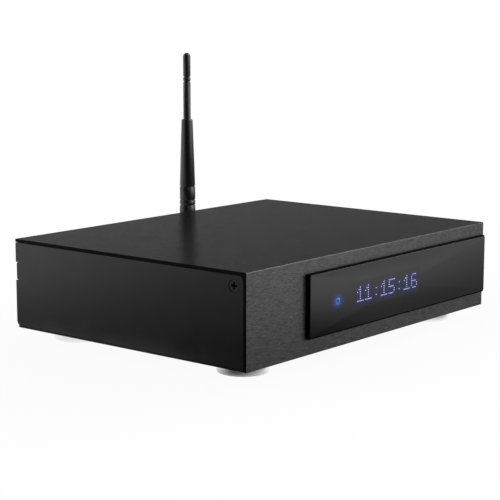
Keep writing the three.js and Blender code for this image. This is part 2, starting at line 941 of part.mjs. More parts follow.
// The display's board, with the ribbon's socket and the display driver on its rear.
function displayBoard() {
  const across = [displayBoardLeft, displayBoardRight];
  const heights = around(displayMiddle, displayBoardHeight);
  const plate = block(across, [displayBoardFront, displayBoardRear], heights);
  const rear = displayBoardRear - bite;
  const socketDepth = [rear, displayBoardRear + ribbonSocketHeight];
  const socket = block(around(ribbonX, ribbonSocketWidth), socketDepth, ribbonSocketHeights);
  const driverDepth = [rear, displayBoardRear + memoryHeight];
  const driverAcross = around(middle(tubeLeft, tubeRight), chipSide);
  return join(plate, socket, block(driverAcross, driverDepth, around(displayMiddle, memoryWidth)));
}

// A strip bent once, as an outline: level from its first end to the corner, upright to the other.
function bentStrip([endAcross, endUp], [cornerAcross, cornerUp], thickness, bend) {
  const across = (Math.sign(endAcross - cornerAcross) * thickness) / 2;
  const up = (Math.sign(endUp - cornerUp) * thickness) / 2;
  const startBend = cornerAcross + Math.sign(across) * bend;
  const endBend = cornerUp + Math.sign(up) * bend;
  const strip = new THREE.Shape();
  strip.moveTo(endAcross, cornerUp - up);
  strip.lineTo(startBend, cornerUp - up);
  strip.quadraticCurveTo(cornerAcross - across, cornerUp - up, cornerAcross - across, endBend);
  strip.lineTo(cornerAcross - across, endUp);
  strip.lineTo(cornerAcross + across, endUp);
  strip.lineTo(cornerAcross + across, endBend);
  strip.quadraticCurveTo(cornerAcross + across, cornerUp + up, startBend, cornerUp + up);
  strip.lineTo(endAcross, cornerUp + up);
  return strip;
}

// The flat cable from the display board, down and back to the main board's front edge.
function displayRibbon() {
  const socketFront = mainBoardFromFront + ribbonSocketInset;
  const end = [socketFront - seatGap, ribbonSocketBottom - seatGap];
  const corner = [displayBoardRear + ribbonSocketHeight / 2, boardTop + ribbonSocketHeight / 2];
  const strip = bentStrip(end, corner, ribbonThickness, ribbonBend);
  return alongX(strip, ...around(ribbonX, ribbonWidth));
}

// Drive bay

// Round holes through a wall, for an outline in X and Z or X and Y.
function roundHole(x, y, radius) {
  const hole = new THREE.Path();
  for (let start = 0; start < fullTurn; start += quarterTurn) {
    hole.absarc(x, y, radius, start, start + quarterTurn);
  }
  return hole;
}

// A row or grid of like windows about a middle place.
function windowGrid([middleX, middleY], [columns, rows], pitch, make) {
  const windows = [];
  for (let row = 0; row < rows; row += 1) {
    for (let column = 0; column < columns; column += 1) {
      const x = middleX + (column - (columns - 1) / 2) * pitch;
      const y = middleY + (row - (rows - 1) / 2) * pitch;
      windows.push(make(x, y));
    }
  }
  return windows;
}

// The tray's carriage, folded from one sheet: floor, two side walls with runners, and a front flange.
function driveTray() {
  const length = [innerLeft, driveRight];
  const across = [trayFront, trayRear];
  const floorOutline = evenOutline(length, across, sheetRound);
  const floorMiddle = [middle(...length), middle(...across)];
  floorOutline.holes = windowGrid(floorMiddle, [windowColumns, windowRows], trayWindowPitch, (x, y) =>
    evenOutline(around(x, windowSide), around(y, windowSide), windowRound),
  );
  for (const x of [driveRight - bottomHoleFirst, driveRight - bottomHoleFirst - bottomHolePitch]) {
    for (const y of [driveFront + bottomHoleInset, driveRear - bottomHoleInset]) {
      floorOutline.holes.push(roundHole(x, y, driveHoleRadius));
    }
  }
  const floor = alongZ(floorOutline, trayFloor, trayFloor + sheet);

  const radii = [0, sheetRound, sheetRound, 0];
  const wallOutline = roundedOutline(length, [trayFloor, trayWallTop], radii);
  for (let i = 0; i < sideHoles; i += 1) {
    const x = driveRight - sideHoleFirst - i * sideHolePitch;
    wallOutline.holes.push(roundHole(x, driveBottom + sideHoleHeight, driveHoleRadius));
  }
  const frontWall = alongY(wallOutline, trayFront, trayFront + sheet);
  const rearWall = alongY(wallOutline, trayRear - sheet, trayRear);

  const runnerLength = [innerLeft + runnerWidth, driveRight];
  const runnerHeights = [trayWallTop - sheet, trayWallTop];
  const frontRunner = block(runnerLength, [trayFront - runnerWidth, trayFront + bite], runnerHeights);
  const rearRunner = block(runnerLength, [trayRear - bite, trayRear + runnerWidth], runnerHeights);

  const flangeRadii = [0, 0, sheetRound, sheetRound];
  const flangeOutline = roundedOutline(across, [trayFloor, driveTop - flangeBelowDrive], flangeRadii);
  const flange = alongX(flangeOutline, innerLeft, innerLeft + sheet);
  return join(floor, frontWall, rearWall, frontRunner, rearRunner, flange);
}

// A guide rail: a channel along X, open to the tray's runner.
function guideRail(wallSide, openSide) {
  const rail = block([cageLeft, driveRight], span(wallSide, openSide), [railBottom, railTop]);
  const towards = Math.sign(openSide - wallSide);
  const groove = block(
    [cageLeft - overrun, driveRight + overrun],
    span(wallSide + towards * railWall, openSide + towards * overrun),
    [trayWallTop - sheet - slideGap, trayWallTop + slideGap],
  );
  return cut(rail, groove);
}

// The bay cage: a floor between two walls, the front one and a leg of the rear one standing on the
// base plate, and an end wall for the backplane.
function bayCage() {
  const length = [cageLeft, cageRight];
  const across = [cageFront, cageRear];
  const floorOutline = evenOutline(length, across, 0);
  const floorMiddle = [middle(...length), middle(...across)];
  floorOutline.holes = windowGrid(floorMiddle, [windowColumns, windowRows], cageWindowPitch, (x, y) =>
    evenOutline(around(x, windowSide), around(y, windowSide), windowRound),
  );
  const floor = alongZ(floorOutline, cageFloor, cageFloor + sheet);

  const frontOutline = evenOutline(length, [panelBottom, cageTop], 0);
  const wallMiddle = middle(panelBottom + sheet, cageFloor);
  frontOutline.holes = windowGrid([floorMiddle[0], wallMiddle], [windowColumns, 1], cageWindowPitch, (x, z) =>
    evenOutline(around(x, windowSide), around(z, cageWindowHeight), sheetRound),
  );
  const frontWall = alongY(frontOutline, cageFront, cageFront + sheet);

  const rearOutline = new THREE.Shape();
  rearOutline.moveTo(cageLeft, panelBottom);
  rearOutline.lineTo(cageLeft + cageBackLeg, panelBottom);
  rearOutline.lineTo(cageLeft + cageBackLeg, cageFloor);
  rearOutline.lineTo(cageRight, cageFloor);
  rearOutline.lineTo(cageRight, cageTop);
  rearOutline.lineTo(cageLeft, cageTop);
  const rearWall = alongY(rearOutline, cageRear - sheet, cageRear);

  const endOutline = evenOutline(across, [cageFloor, driveBottom + backplaneHeight], 0);
  const socketRoom = driveCableWidth + 2 * driveCableSocket;
  const socketHeights = around(driveCableHeight, headerDepth + 2 * cutGap);
  endOutline.holes.push(evenOutline(around(plugCentre, socketRoom), socketHeights, 0));
  const endWall = alongX(endOutline, cageEndLeft, cageRight);

  const footHeights = [panelBottom, panelBottom + sheet];
  const footStart = footFromSide + footBossRadius + cageFlange;
  const frontFoot = block([footStart, cageRight], [cageFront, cageFront + sheet + cageFlange], footHeights);
  const rearFootDeep = [cageRear - sheet, cageRear + cageFlange];
  const rearFoot = block([footStart, cageLeft + cageBackLeg], rearFootDeep, footHeights);
  return join(floor, frontWall, rearWall, endWall, frontFoot, rearFoot);
}

// The plug that the drive runs onto: a body on the backplane and a flat nose into the drive.
function drivePlug() {
  const heights = [driveBottom, driveBottom + plugBodyHeight];
  const body = block([plugFace, plugFace + plugBodyDepth], around(plugCentre, plugBodyWidth), heights);
  const noseHeights = around(driveBottom + plugBodyHeight / 2, plugNoseHeight);
  const noseSpan = [driveRight - plugNose, plugFace + bite];
  const nose = block(noseSpan, around(plugCentre, plugNoseWidth), noseHeights);
  return join(body, nose);
}

function backplane() {
  const heights = [cageFloor + sheet + seatGap, driveBottom + backplaneHeight];
  const plate = block([backplaneLeft, backplaneRight], around(plugCentre, backplaneWidth), heights);
  const socket = block(
    [backplaneRight - bite, cageRight + driveCableSocket],
    around(plugCentre, driveCableWidth + driveCableSocket),
    around(driveCableHeight, headerDepth),
  );
  return join(plate, socket);
}

function driveCable() {
  const start = cageRight + driveCableSocket + seatGap;
  const end = boardTop + headerHeight + seatGap;
  const strip = bentStrip([start, end], [driveCableX, driveCableHeight], driveCableThickness, driveCableBend);
  return alongY(strip, ...around(plugCentre, driveCableWidth));
}

// Electronics

function onBoard(across, deep, height) {
  return block(across, deep, [boardTop - bite, boardTop + height]);
}

// The main board with the parts soldered to it.
function mainBoard() {
  const deep = [mainBoardFromFront, mainBoardRear];
  const plate = block([mainBoardLeft, mainBoardRight], deep, [boardBottom, boardTop]);
  const parts = [onBoard(around(chipX, chipSide), around(chipY, chipSide), chipHeight)];
  for (const side of [-1, 1]) {
    for (const half of [-1, 1]) {
      const x = chipX + (half * memoryPitch) / 2;
      const y = chipY + side * (chipSide / 2 + memoryLength);
      parts.push(onBoard(around(x, memoryWidth), around(y, memoryLength), memoryHeight));
    }
  }
  const capacitorY = rearOuter - powerDepth - capacitorPitch;
  const capacitorHeights = [boardTop - bite, boardTop + capacitorHeight];
  for (let i = 0; i < capacitors; i += 1) {
    const x = casingWidth - powerFromRight - i * capacitorPitch;
    parts.push(rodZ(capacitorHeights, x, capacitorY, capacitorRadius, tinySides));
  }
  const shield = shieldPlace();
  parts.push(onBoard(around(shield[0], shieldSide), around(shield[1], shieldSide), shieldHeight));
  const header = fanHeaderPlace();
  parts.push(onBoard([header[0], header[0] + headerWidth], around(header[1], headerDepth), headerHeight));
  const ribbonFront = mainBoardFromFront + ribbonSocketInset;
  const ribbonDeep = [ribbonFront, ribbonFront + ribbonSocketDepth];
  parts.push(onBoard(around(ribbonX, ribbonSocketWidth), ribbonDeep, ribbonSocketHeight));
  const cableDeep = around(plugCentre, driveCableWidth + driveCableSocket);
  parts.push(onBoard(around(driveCableX, headerDepth), cableDeep, headerHeight));
  return join(plate, ...parts);
}

// The middle of the radio's shield can, between the antenna and the heatsink.
function shieldPlace() {
  return [antennaX - shieldAside, mainBoardRear - networkDepth - shieldSetback];
}

// The left end and the middle line of the fan's header, half way from the bay to the fan.
function fanHeaderPlace() {
  return [mainBoardLeft + headerInset, middle(cageRear + cageFlange, fanFront)];
}

// The heatsink: a base and upright fins in one outline, carried along X.
function heatsink() {
  const bottom = boardTop + chipHeight + seatGap;
  const [front, rear] = around(chipY, sinkLength);
  const pitch = (sinkLength - finThickness) / (finCount - 1);
  const outline = new THREE.Shape();
  outline.moveTo(front, bottom);
  outline.lineTo(rear, bottom);
  for (let i = finCount - 1; i >= 0; i -= 1) {
    const y = front + i * pitch;
    outline.lineTo(y + finThickness, bottom + sinkBase);
    outline.lineTo(y + finThickness, bottom + sinkBase + sinkHeight);
    outline.lineTo(y, bottom + sinkBase + sinkHeight);
    outline.lineTo(y, bottom + sinkBase);
  }
  return alongX(outline, ...around(chipX, sinkWidth));
}

// Fan, made about its own axis and then moved to its place behind the grille

function atFan(solid) {
  const geometry = geometryFrom(solid);
  geometry.translate(fanFromLeft, 0, fanFromBottom);
  return solidFrom(geometry);
}

function fanCornerPlaces() {
  const reach = fanSide / 2 - fanHoleInset;
  return [
    [-reach, -reach],
    [reach, -reach],
    [-reach, reach],
    [reach, reach],
  ];
}

function fanFrame() {
  const half = [-fanSide / 2, fanSide / 2];
  const outline = evenOutline(half, half, fanCorner);
  outline.holes.push(...fanCornerPlaces().map(([x, z]) => roundHole(x, z, fanHoleRadius)));
  const beyond = [fanFront - overrun, fanRear + overrun];
  const frame = cut(alongY(outline, fanFront, fanRear), rodY(beyond, 0, 0, fanBore, roundSides));
  const motorDepth = [fanRear - fanMotorDepth, fanRear];
  const parts = [rodY(motorDepth, 0, 0, fanHub, roundSides)];
  for (let i = 0; i < fanStruts; i += 1) {
    const strut = new THREE.BoxGeometry(fanBore + bite - fanHub / 2, fanMotorDepth, fanStrut);
    strut.translate(middle(fanHub / 2, fanBore + bite), middle(...motorDepth), 0);
    strut.rotateY((i * fullTurn) / fanStruts);
    parts.push(solidFrom(strut));
  }
  const bearing = rodY(beyond, 0, 0, fanShaftRadius + slideGap, tinySides);
  return atFan(cut(join(frame, ...parts), bearing));
}

// One blade: a flat ring sector whose every point rises along the axis by its own angle.
function fanBlade(turn) {
  const outline = new THREE.Shape();
  outline.absarc(0, 0, fanBladeTip, -bladeSpan / 2, bladeSpan / 2, false);
  outline.absarc(0, 0, fanHub - fanBladeRoot, bladeSpan / 2, -bladeSpan / 2, true);
  const options = { depth: fanBladeThickness, bevelEnabled: false, curveSegments: arcSteps };
  const geometry = new THREE.ExtrudeGeometry(outline, options);
  const place = geometry.getAttribute("position");
  for (let i = 0; i < place.count; i += 1) {
    const rise = Math.atan2(place.getY(i), place.getX(i)) * fanBladeLead;
    place.setZ(i, place.getZ(i) + rise);
  }
  geometry.rotateX(quarterTurn);
  geometry.translate(0, fanFront + fanHubDepth / 2 + fanBladeThickness, 0);
  geometry.rotateY(turn);
  return solidFrom(geometry);
}

function fanRotor() {
  const hubFront = fanFront + slideGap;
  const hubRear = fanFront + fanHubDepth;
  const hub = rodY([hubFront, hubRear], 0, 0, fanHub, roundSides);
  const shaft = rodY([hubRear - bite, fanRear], 0, 0, fanShaftRadius, tinySides);
  const blades = [];
  for (let i = 0; i < fanBlades; i += 1) {
    blades.push(fanBlade((i * fullTurn) / fanBlades));
  }
  return atFan(join(hub, shaft, ...blades));
}

// The three-core lead from the fan to its header on the main board.
function fanLead() {
  const [headerLeft, headerY] = fanHeaderPlace();
  const start = fanFromLeft + fanSide / 2 + seatGap;
  const end = headerLeft - seatGap;
  const startY = middle(fanFront, fanRear);
  const startZ = fanFromBottom - fanSide / 2 + fanHoleInset;
  const endZ = boardTop + headerHeight / 2;
  const points = [
    [start, startY, startZ],
    [start + fanLeadReach, startY, startZ],
    [middle(start, end), middle(startY, headerY), middle(startZ, endZ)],
    [end - fanLeadReach, headerY, endZ],
    [end, headerY, endZ],
  ];
  return lead(points, fanLeadRadius);
}

// Rear panel and its sockets

// A curved slot between two spokes of the fan grille.
function grilleArc(inner, outer, from, to) {
  const half = middle(from, to);
  const arc = new THREE.Path();
  arc.absarc(fanFromLeft, fanFromBottom, outer, from, half, false);
  arc.absarc(fanFromLeft, fanFromBottom, outer, half, to, false);
  arc.absarc(fanFromLeft, fanFromBottom, inner, to, half, true);
  arc.absarc(fanFromLeft, fanFromBottom, inner, half, from, true);
  return arc;
}

function grilleHoles() {
  const holes = [];
  for (let ring = 0; ring < grilleRings; ring += 1) {
    const inner = grilleHub + ring * (grilleSlot + grilleBar);
    for (let spoke = 0; spoke < grilleSpokes; spoke += 1) {
      const from = (spoke * fullTurn) / grilleSpokes + grilleSpokeSpan / 2;
      const to = ((spoke + 1) * fullTurn) / grilleSpokes - grilleSpokeSpan / 2;
      holes.push(grilleArc(inner, inner + grilleSlot, from, to));
    }
  }
  const screws = fanCornerPlaces();
  holes.push(...screws.map(([x, z]) => roundHole(fanFromLeft + x, fanFromBottom + z, fanHoleRadius)));
  return holes;
}

// The middle of each board-mounted socket along X, with its width and height over the board.
function rearSockets() {
  return [
    [casingWidth - powerFromRight, powerWidth, powerHeight],
    [casingWidth - usbStackFromRight, usbWidth, usbStackHeight],
    [casingWidth - networkFromRight, networkWidth, networkHeight],
    [casingWidth - videoFromRight, videoWidth, videoHeight],
    [casingWidth - opticalFromRight, opticalSide, opticalHeight],
    [casingWidth - audioFromRight, audioWidth, audioHeight],
  ];
}

function rearPanel() {
  const across = [innerLeft, innerRight];
  const outline = evenOutline(across, [panelBottom, panelTop], sheetRound);
  outline.holes.push(...grilleHoles());
  for (const [x, width, height] of rearSockets()) {
    const heights = [partHeight - cutGap, partHeight + height + cutGap];
    outline.holes.push(evenOutline(around(x, width + 2 * cutGap), heights, 0));
  }
  const switchAcross = around(switchX, switchWidth + 2 * cutGap);
  outline.holes.push(evenOutline(switchAcross, around(switchFromBottom, switchHeight + 2 * cutGap), 0));
  outline.holes.push(roundHole(antennaX, antennaFromBottom, connectorRadius + seatGap));
  const plate = alongY(outline, rearInner, rearOuter);

  const flangeDepth = [rearInner - rearFlange, rearInner + bite];
  const flangeAcross = [innerLeft + rearFlange, innerRight - rearFlange];
  const lowFlange = block(flangeAcross, flangeDepth, [panelBottom, panelBottom + rearThickness]);
  const highFlange = block(flangeAcross, flangeDepth, [panelTop - rearThickness, panelTop]);

  const fillerHeights = [notchFromBottom + notchGap, notchFromBottom + notchHeight - notchGap];
  const filler = block([seatGap, innerLeft + bite], [rearInner, rearOuter], fillerHeights);

  const tabDepth = [rearInner - rearTabDepth, rearInner + bite];
  const tabSpan = [innerRight - rearThickness, innerRight];
  const tab = block(tabSpan, tabDepth, around(screwHeight, rearTabHeight));
  const tabBore = rodX(
    [tabSpan[0] - overrun, tabSpan[1] + overrun],
    rearInner - rearTabDepth / 2,
    screwHeight,
    screwShankRadius + cutGap,
    tinySides,
  );
  return cut(join(plate, lowFlange, highFlange, filler, tab), tabBore);
}

// A socket's body on the main board, flush with the rear panel's outer face.
function socketBody(fromRight, width, height, depth) {
  const x = casingWidth - fromRight;
  return block(around(x, width), [rearOuter - depth, rearOuter], [partHeight, partHeight + height]);
}

// The barrel socket of the power lead, with its pin.
function powerSocket() {
  const x = casingWidth - powerFromRight;
  const z = partHeight + powerHeight / 2;
  const body = socketBody(powerFromRight, powerWidth, powerHeight, powerDepth);
  const bore = rodY([rearOuter - powerBoreDepth, rearOuter + overrun], x, z, powerBore);
  const pin = rodY([rearOuter - powerBoreDepth - bite, rearOuter - pinRecess], x, z, powerPin, tinySides);
  return join(cut(body, bore), pin);
}

// One cavity of a USB socket behind a face at the front of Y, without its tongue.
function usbCavity(x, [inner, face], bottom) {
  const across = around(x, usbWidth - 2 * usbWall);
  return block(across, [inner, face], [bottom + usbWall, bottom + usbHeight - usbWall]);
}

function usbTongueBlock(x, deep, bottom) {
  const top = bottom + usbHeight - 2 * usbWall;
  return block(around(x, usbTongueWidth), deep, [top - usbTongue, top]);
}

// Two USB sockets one above the other in a single shell.
function usbStack() {
  const x = casingWidth - usbStackFromRight;
  const body = socketBody(usbStackFromRight, usbWidth, usbStackHeight, usbDepth);
  const inner = rearOuter - usbDepth + socketBack;
  const bottoms = [partHeight + usbWall, partHeight + usbStackHeight - usbHeight - usbWall];
  const cavities = bottoms.map((bottom) => usbCavity(x, [inner, rearOuter + overrun], bottom));
  const tongues = bottoms.map((bottom) => usbTongueBlock(x, [inner - bite, rearOuter - pinRecess], bottom));
  return join(cut(body, ...cavities), ...tongues);
}

// The network socket: a stepped opening with the room for the plug's catch at its foot.
function networkSocket() {
  const x = casingWidth - networkFromRight;
  const body = socketBody(networkFromRight, networkWidth, networkHeight, networkDepth);
  const deep = [rearOuter - networkCavityDepth, rearOuter + overrun];
  const bottom = partHeight + networkFloor + networkKeyHeight;
  const cavity = block(around(x, networkCavityWidth), deep, [bottom, bottom + networkCavityHeight]);
  const key = block(around(x, networkKeyWidth), deep, [bottom - networkKeyHeight, bottom + bite]);
  return cut(body, cavity, key);
}

// The video socket: a shell with bevelled lower corners and a flat tongue.
function videoSocket() {
  const x = casingWidth - videoFromRight;
  const body = socketBody(videoFromRight, videoWidth, videoHeight, videoDepth);
  const middleHeight = partHeight + videoHeight / 2;
  const left = x - videoCavityWidth / 2;
  const right = x + videoCavityWidth / 2;
  const top = middleHeight + videoCavityHeight / 2;
  const bottom = middleHeight - videoCavityHeight / 2;
  const outline = new THREE.Shape();
  outline.moveTo(left, top);
  outline.lineTo(left, bottom + videoBevel);
  outline.lineTo(left + videoBevel, bottom);
  outline.lineTo(right - videoBevel, bottom);
  outline.lineTo(right, bottom + videoBevel);
  outline.lineTo(right, top);
  const inner = rearOuter - videoCavityDepth;
  const cavity = alongY(outline, inner, rearOuter + overrun);
  const tongueDeep = [inner - bite, rearOuter - pinRecess];
  const tongue = block(around(x, videoTongueWidth), tongueDeep, around(middleHeight, videoTongue));
  return join(cut(body, cavity), tongue);
}

// The optical audio socket, whose shutter closes its recess.
function opticalSocket() {
  const x = casingWidth - opticalFromRight;
  const body = socketBody(opticalFromRight, opticalSide, opticalHeight, opticalDepth);
  const heights = around(partHeight + opticalHeight / 2, opticalRecess);
  const recessDeep = [rearOuter - opticalRecessDepth, rearOuter + overrun];
  const recess = block(around(x, opticalRecess), recessDeep, heights);
  return cut(body, recess);
}

// The round audio socket: a body behind the panel and a barrel through it.
function audioSocket() {
  const x = casingWidth - audioFromRight;
  const z = partHeight + audioHeight / 2;
  const body = socketBody(audioFromRight, audioWidth, audioHeight, audioDepth);
  const barrelLength = [rearOuter - bite, rearOuter + audioBarrelLength];
  const bore = [rearOuter - audioDepth + socketBack, rearOuter + audioBarrelLength + overrun];
  const barrel = rodY(barrelLength, x, z, audioBarrel);
  return cut(join(body, barrel), rodY(bore, x, z, audioBore, tinySides));
}

// Sockets in the right side, turned to face it
function sideUsbSocket(y) {
  const geometry = geometryFrom(sideUsbForm());
  geometry.rotateZ(-quarterTurn);
  geometry.translate(casingWidth - seatGap, y, 0);
  return solidFrom(geometry);
}

// A single USB socket about its own middle, facing the rear.
function sideUsbForm() {
  const body = block(around(0, usbWidth), [-usbDepth, 0], [partHeight, partHeight + usbHeight]);
  const inner = -usbDepth + socketBack;
  const cavity = usbCavity(0, [inner, overrun], partHeight);
  const tongue = usbTongueBlock(0, [inner - bite, -pinRecess], partHeight);
  return join(cut(body, cavity), tongue);
}

function cardSocket() {
  const deep = around(cardFromFront, cardWidth);
  const heights = [partHeight, partHeight + cardHeight];
  const body = block([cardLeft, cardLeft + cardDepth], deep, heights);
  const slotSpan = [cardLeft + socketBack, innerRight + overrun];
  const slotHeights = around(partHeight + cardHeight / 2, cardSlotHeight);
  return cut(body, block(slotSpan, around(cardFromFront, cardSlotWidth), slotHeights));
}

// Power switch

function switchHousing() {
  const bezelDeep = [rearOuter + seatGap, bezelRear];
  const bezel = block(around(switchX, bezelWidth), bezelDeep, around(switchFromBottom, bezelHeight));
  const bodyDeep = [rearOuter - switchDepth, rearOuter + seatGap + bite];
  const body = block(around(switchX, switchWidth), bodyDeep, around(switchFromBottom, switchHeight));
  const reach = Math.hypot(rockerHeight / 2, rockerTip) + slideGap;
  const pocketDeep = [bezelRear - rockerPocket, bezelRear + overrun];
  const pocketAcross = around(switchX, rockerWidth + 2 * slideGap);
  const pocket = block(pocketAcross, pocketDeep, around(switchFromBottom, 2 * reach));
  const holeLength = around(switchX, rockerWidth + 2 * (trunnionReach + slideGap));
  const hole = rodX(holeLength, rockerY, switchFromBottom, trunnionRadius + slideGap, tinySides);
  return cut(join(bezel, body), pocket, hole);
}

// The rocker about its own pivot: a wide V outside and a narrow foot inside.
function switchRocker() {
  const half = rockerHeight / 2;
  const outline = new THREE.Shape();
  outline.moveTo(rockerWaist, 0);
  outline.lineTo(rockerTip, half);
  outline.lineTo(-rockerWaist, half);
  outline.lineTo(-rockerDepth, rockerFoot / 2);
  outline.lineTo(-rockerDepth, -rockerFoot / 2);
  outline.lineTo(-rockerWaist, -half);
  outline.lineTo(rockerTip, -half);
  const body = alongX(outline, ...around(0, rockerWidth));
  const trunnions = rodX(around(0, rockerWidth + 2 * trunnionReach), 0, 0, trunnionRadius, tinySides);
  return join(body, trunnions);
}

// Antenna

// A profile turned about Y, whose heights are counted from a place along Y.
function turnedY(profile, y, sides) {
  const points = profile.map(([radius, height]) => new THREE.Vector2(radius, height));
  const geometry = new THREE.LatheGeometry(points, sides);
  geometry.translate(antennaX, y, antennaFromBottom);
  return solidFrom(geometry);
}

// The bulkhead connector: crimp, collar against the panel, and threaded barrel with its bore.
function antennaConnector() {
  const collarTop = connectorInside - seatGap;
  const collarFoot = collarTop - connectorCollarDepth;
  const end = connectorEnd - (rearInner - connectorInside);
  const profile = [
    [0, 0],
    [stemRadius, 0],
    [stemRadius, collarFoot],
    [connectorCollarRadius, collarFoot],
    [connectorCollarRadius, collarTop],
    [connectorRadius, collarTop],
    [connectorRadius, end],
    [connectorBore, end],
    [connectorBore, end - connectorBoreDepth],
    [0, end - connectorBoreDepth],
  ];
  return turnedY(profile, rearInner - connectorInside, smallSides);
}

function antennaPanelNut() {
  const nutSpan = [rearOuter + seatGap, rearOuter + seatGap + bulkheadNutDepth];
  const corner = bulkheadNutAcross / 2 / Math.cos(Math.PI / nutSides);
  const nut = rodY(nutSpan, antennaX, antennaFromBottom, corner, nutSides);
  const beyond = [nutSpan[0] - overrun, nutSpan[1] + overrun];
  return cut(nut, rodY(beyond, antennaX, antennaFromBottom, connectorRadius + seatGap));
}

// The coupling nut, fluted for the fingers, with a lip that holds the elbow's stem.
function couplingNut() {
  const lipFoot = couplingLength - couplingLip;
  const bore = connectorRadius + seatGap;
  const hole = stemRadius + slideGap;
  const profile = [
    [bore, 0],
    [couplingRadius, 0],
    [couplingRadius, couplingLength],
    [hole, couplingLength],
    [hole, lipFoot],
    [bore, lipFoot],
    [bore, 0],
  ];
  const flutes = [];
  for (let i = 0; i < couplingFlutes; i += 1) {
    const turn = (i * fullTurn) / couplingFlutes;
    const x = antennaX + couplingRadius * Math.cos(turn);
    const z = antennaFromBottom + couplingRadius * Math.sin(turn);
    const fluteSpan = [couplingFront + couplingLip, couplingRear + overrun];
    flutes.push(rodY(fluteSpan, x, z, couplingFluteRadius, fluteSides));
  }
  return cut(turnedY(profile, couplingFront, roundSides), ...flutes);
}

// The elbow: contact, stem and collar, then a fork whose cheeks carry the hinge pin.
function antennaElbow() {
  const place = [antennaX, antennaFromBottom];
  const contactSpan = [connectorEnd - contactReach, connectorEnd + overrun];
  const contact = rodY(contactSpan, ...place, contactRadius, leadSides);
  const stem = rodY([connectorEnd + seatGap, elbowFront + bite], ...place, stemRadius);
  const reach = antennaY + cheekRadius;
  const barrel = rodY([elbowFront, reach], ...place, elbowRadius, roundSides);
  const sides = around(antennaX, 2 * cheekOuter);
  const flats = block(sides, [elbowFront, antennaY], around(antennaFromBottom, 2 * cheekRadius));
  const nose = rodX(sides, antennaY, antennaFromBottom, cheekRadius, roundSides);
  const heights = around(antennaFromBottom, 2 * cheekRadius + 2 * overrun);
  const slot = block(around(antennaX, 2 * cheekInner), [elbowRear, reach + overrun], heights);
  const bore = rodX(around(antennaX, hingePinLength + 2 * overrun), antennaY, antennaFromBottom, hingeBore);
  const fork = cut(barrel.intersect(join(flats, nose)), slot, bore);
  return join(fork, stem, contact);
}

function antennaPin() {
  return rodX(around(antennaX, hingePinLength), antennaY, antennaFromBottom, hingePinRadius);
}

// The sleeve's radius at a height over the hinge pin.
function sleeveRadius(height) {
  const ringTop = Math.max(...sleeveRingHeights);
  if (height < ringTop) {
    return THREE.MathUtils.mapLinear(height, sleeveLift, ringTop, sleeveFootRadius, sleeveRingRadius);
  }
  return THREE.MathUtils.mapLinear(height, ringTop, sleeveTop, sleeveRingRadius, sleeveTopRadius);
}

function grooved(height, radiusAt) {
  const low = height - grooveWidth / 2;
  const high = height + grooveWidth / 2;
  return [
    [radiusAt(low), low],
    [radiusAt(height) - grooveDepth, height],
    [radiusAt(high), high],
  ];
}

// The tapered sleeve over the hinge: ring grooves, a bore for the rod and a flat tongue below.
function antennaSleeve() {
  const seat = rodRadius + seatGap;
  const profile = [
    [0, sleeveLift],
    [sleeveFootRadius - sleeveFootBevel, sleeveLift],
    [sleeveFootRadius, sleeveLift + sleeveFootBevel],
    ...sleeveRingHeights.flatMap((height) => grooved(height, sleeveRadius)),
    [sleeveRadius(sleeveTop - sleeveTopRound), sleeveTop - sleeveTopRound],
    [sleeveTopRadius - sleeveTopRound, sleeveTop],
    [seat, sleeveTop],
    [seat, sleeveTop - rodSeat],
    [0, sleeveTop - rodSeat],
  ];
  const half = cheekInner - slideGap;
  const tongueAcross = [-half, half];
  const tongue = block(tongueAcross, [-tongueRadius, tongueRadius], [0, sleeveLift + bite]);
  const eye = rodX(tongueAcross, 0, 0, tongueRadius, roundSides);
  const bore = rodX([-half - overrun, half + overrun], 0, 0, hingeBore);
  return cut(join(turned(profile, roundSides), tongue, eye), bore);
}

// The thin rod above the sleeve, with two ring grooves and a round tip.
function antennaRod() {
  const profile = [
    [0, sleeveTop - rodSeat + seatGap],
    [rodRadius, sleeveTop - rodSeat + seatGap],
    ...rodGrooveHeights.flatMap((height) => grooved(height, () => rodRadius)),
  ];
  const tip = antennaTip - rodRadius;
  for (let i = 0; i <= tipSteps; i += 1) {
    const turn = (i * quarterTurn) / tipSteps;
    const radius = i < tipSteps ? rodRadius * Math.cos(turn) : 0;
    profile.push([radius, tip + rodRadius * Math.sin(turn)]);
  }
  return turned(profile, smallSides);
}

// The thin lead from the connector down to the radio's shield can.
function antennaLead() {
  const [shieldX, shieldY] = shieldPlace();
  const startY = rearInner - connectorInside - seatGap;
  const turnY = startY - antennaLeadReach;
  const endZ = boardTop + shieldHeight + seatGap;
  const points = [
    [antennaX, startY, antennaFromBottom],
    [antennaX, turnY, antennaFromBottom],
    [middle(antennaX, shieldX), middle(turnY, shieldY), antennaFromBottom - antennaLeadReach],
    [shieldX, shieldY, endZ + antennaLeadDrop],
    [shieldX, shieldY, endZ],
  ];
  return lead(points, antennaLeadRadius);
}

// Assembly

addPiece("outer_shell", outerShell(), anodised);
addPiece("base_plate", basePlate(), blackSteel);
addPiece("rear_panel", rearPanel(), blackSteel);
addPiece("right_panel", rightPanel(), panelPaint);
for (const [index, y] of rightScrewPlaces().entries()) {
  const name = ["right_panel_screw_front", "right_panel_screw_rear"][index];
  addPiece(name, countersunkScrew(casingWidth, -1, y, screwHeight), blackSteel);
}
addPiece("tray_face", trayFace(), panelPaint);
addPiece("tray_screw", countersunkScrew(0, 1, screwFromFront, screwHeight), blackSteel);
addPiece("drive_tray", driveTray(), bareSteel);

addPiece("bay_cage", bayCage(), bareSteel);
addPiece("guide_rail_front", guideRail(railFront, railFront + railWidth), mouldedBlack);
addPiece("guide_rail_rear", guideRail(railRear + railWidth, railRear), mouldedBlack);
addPiece("drive_plug", drivePlug(), mouldedBlack);
addPiece("backplane", backplane(), circuitGreen);
addPiece("drive_cable", driveCable(), cableGrey);

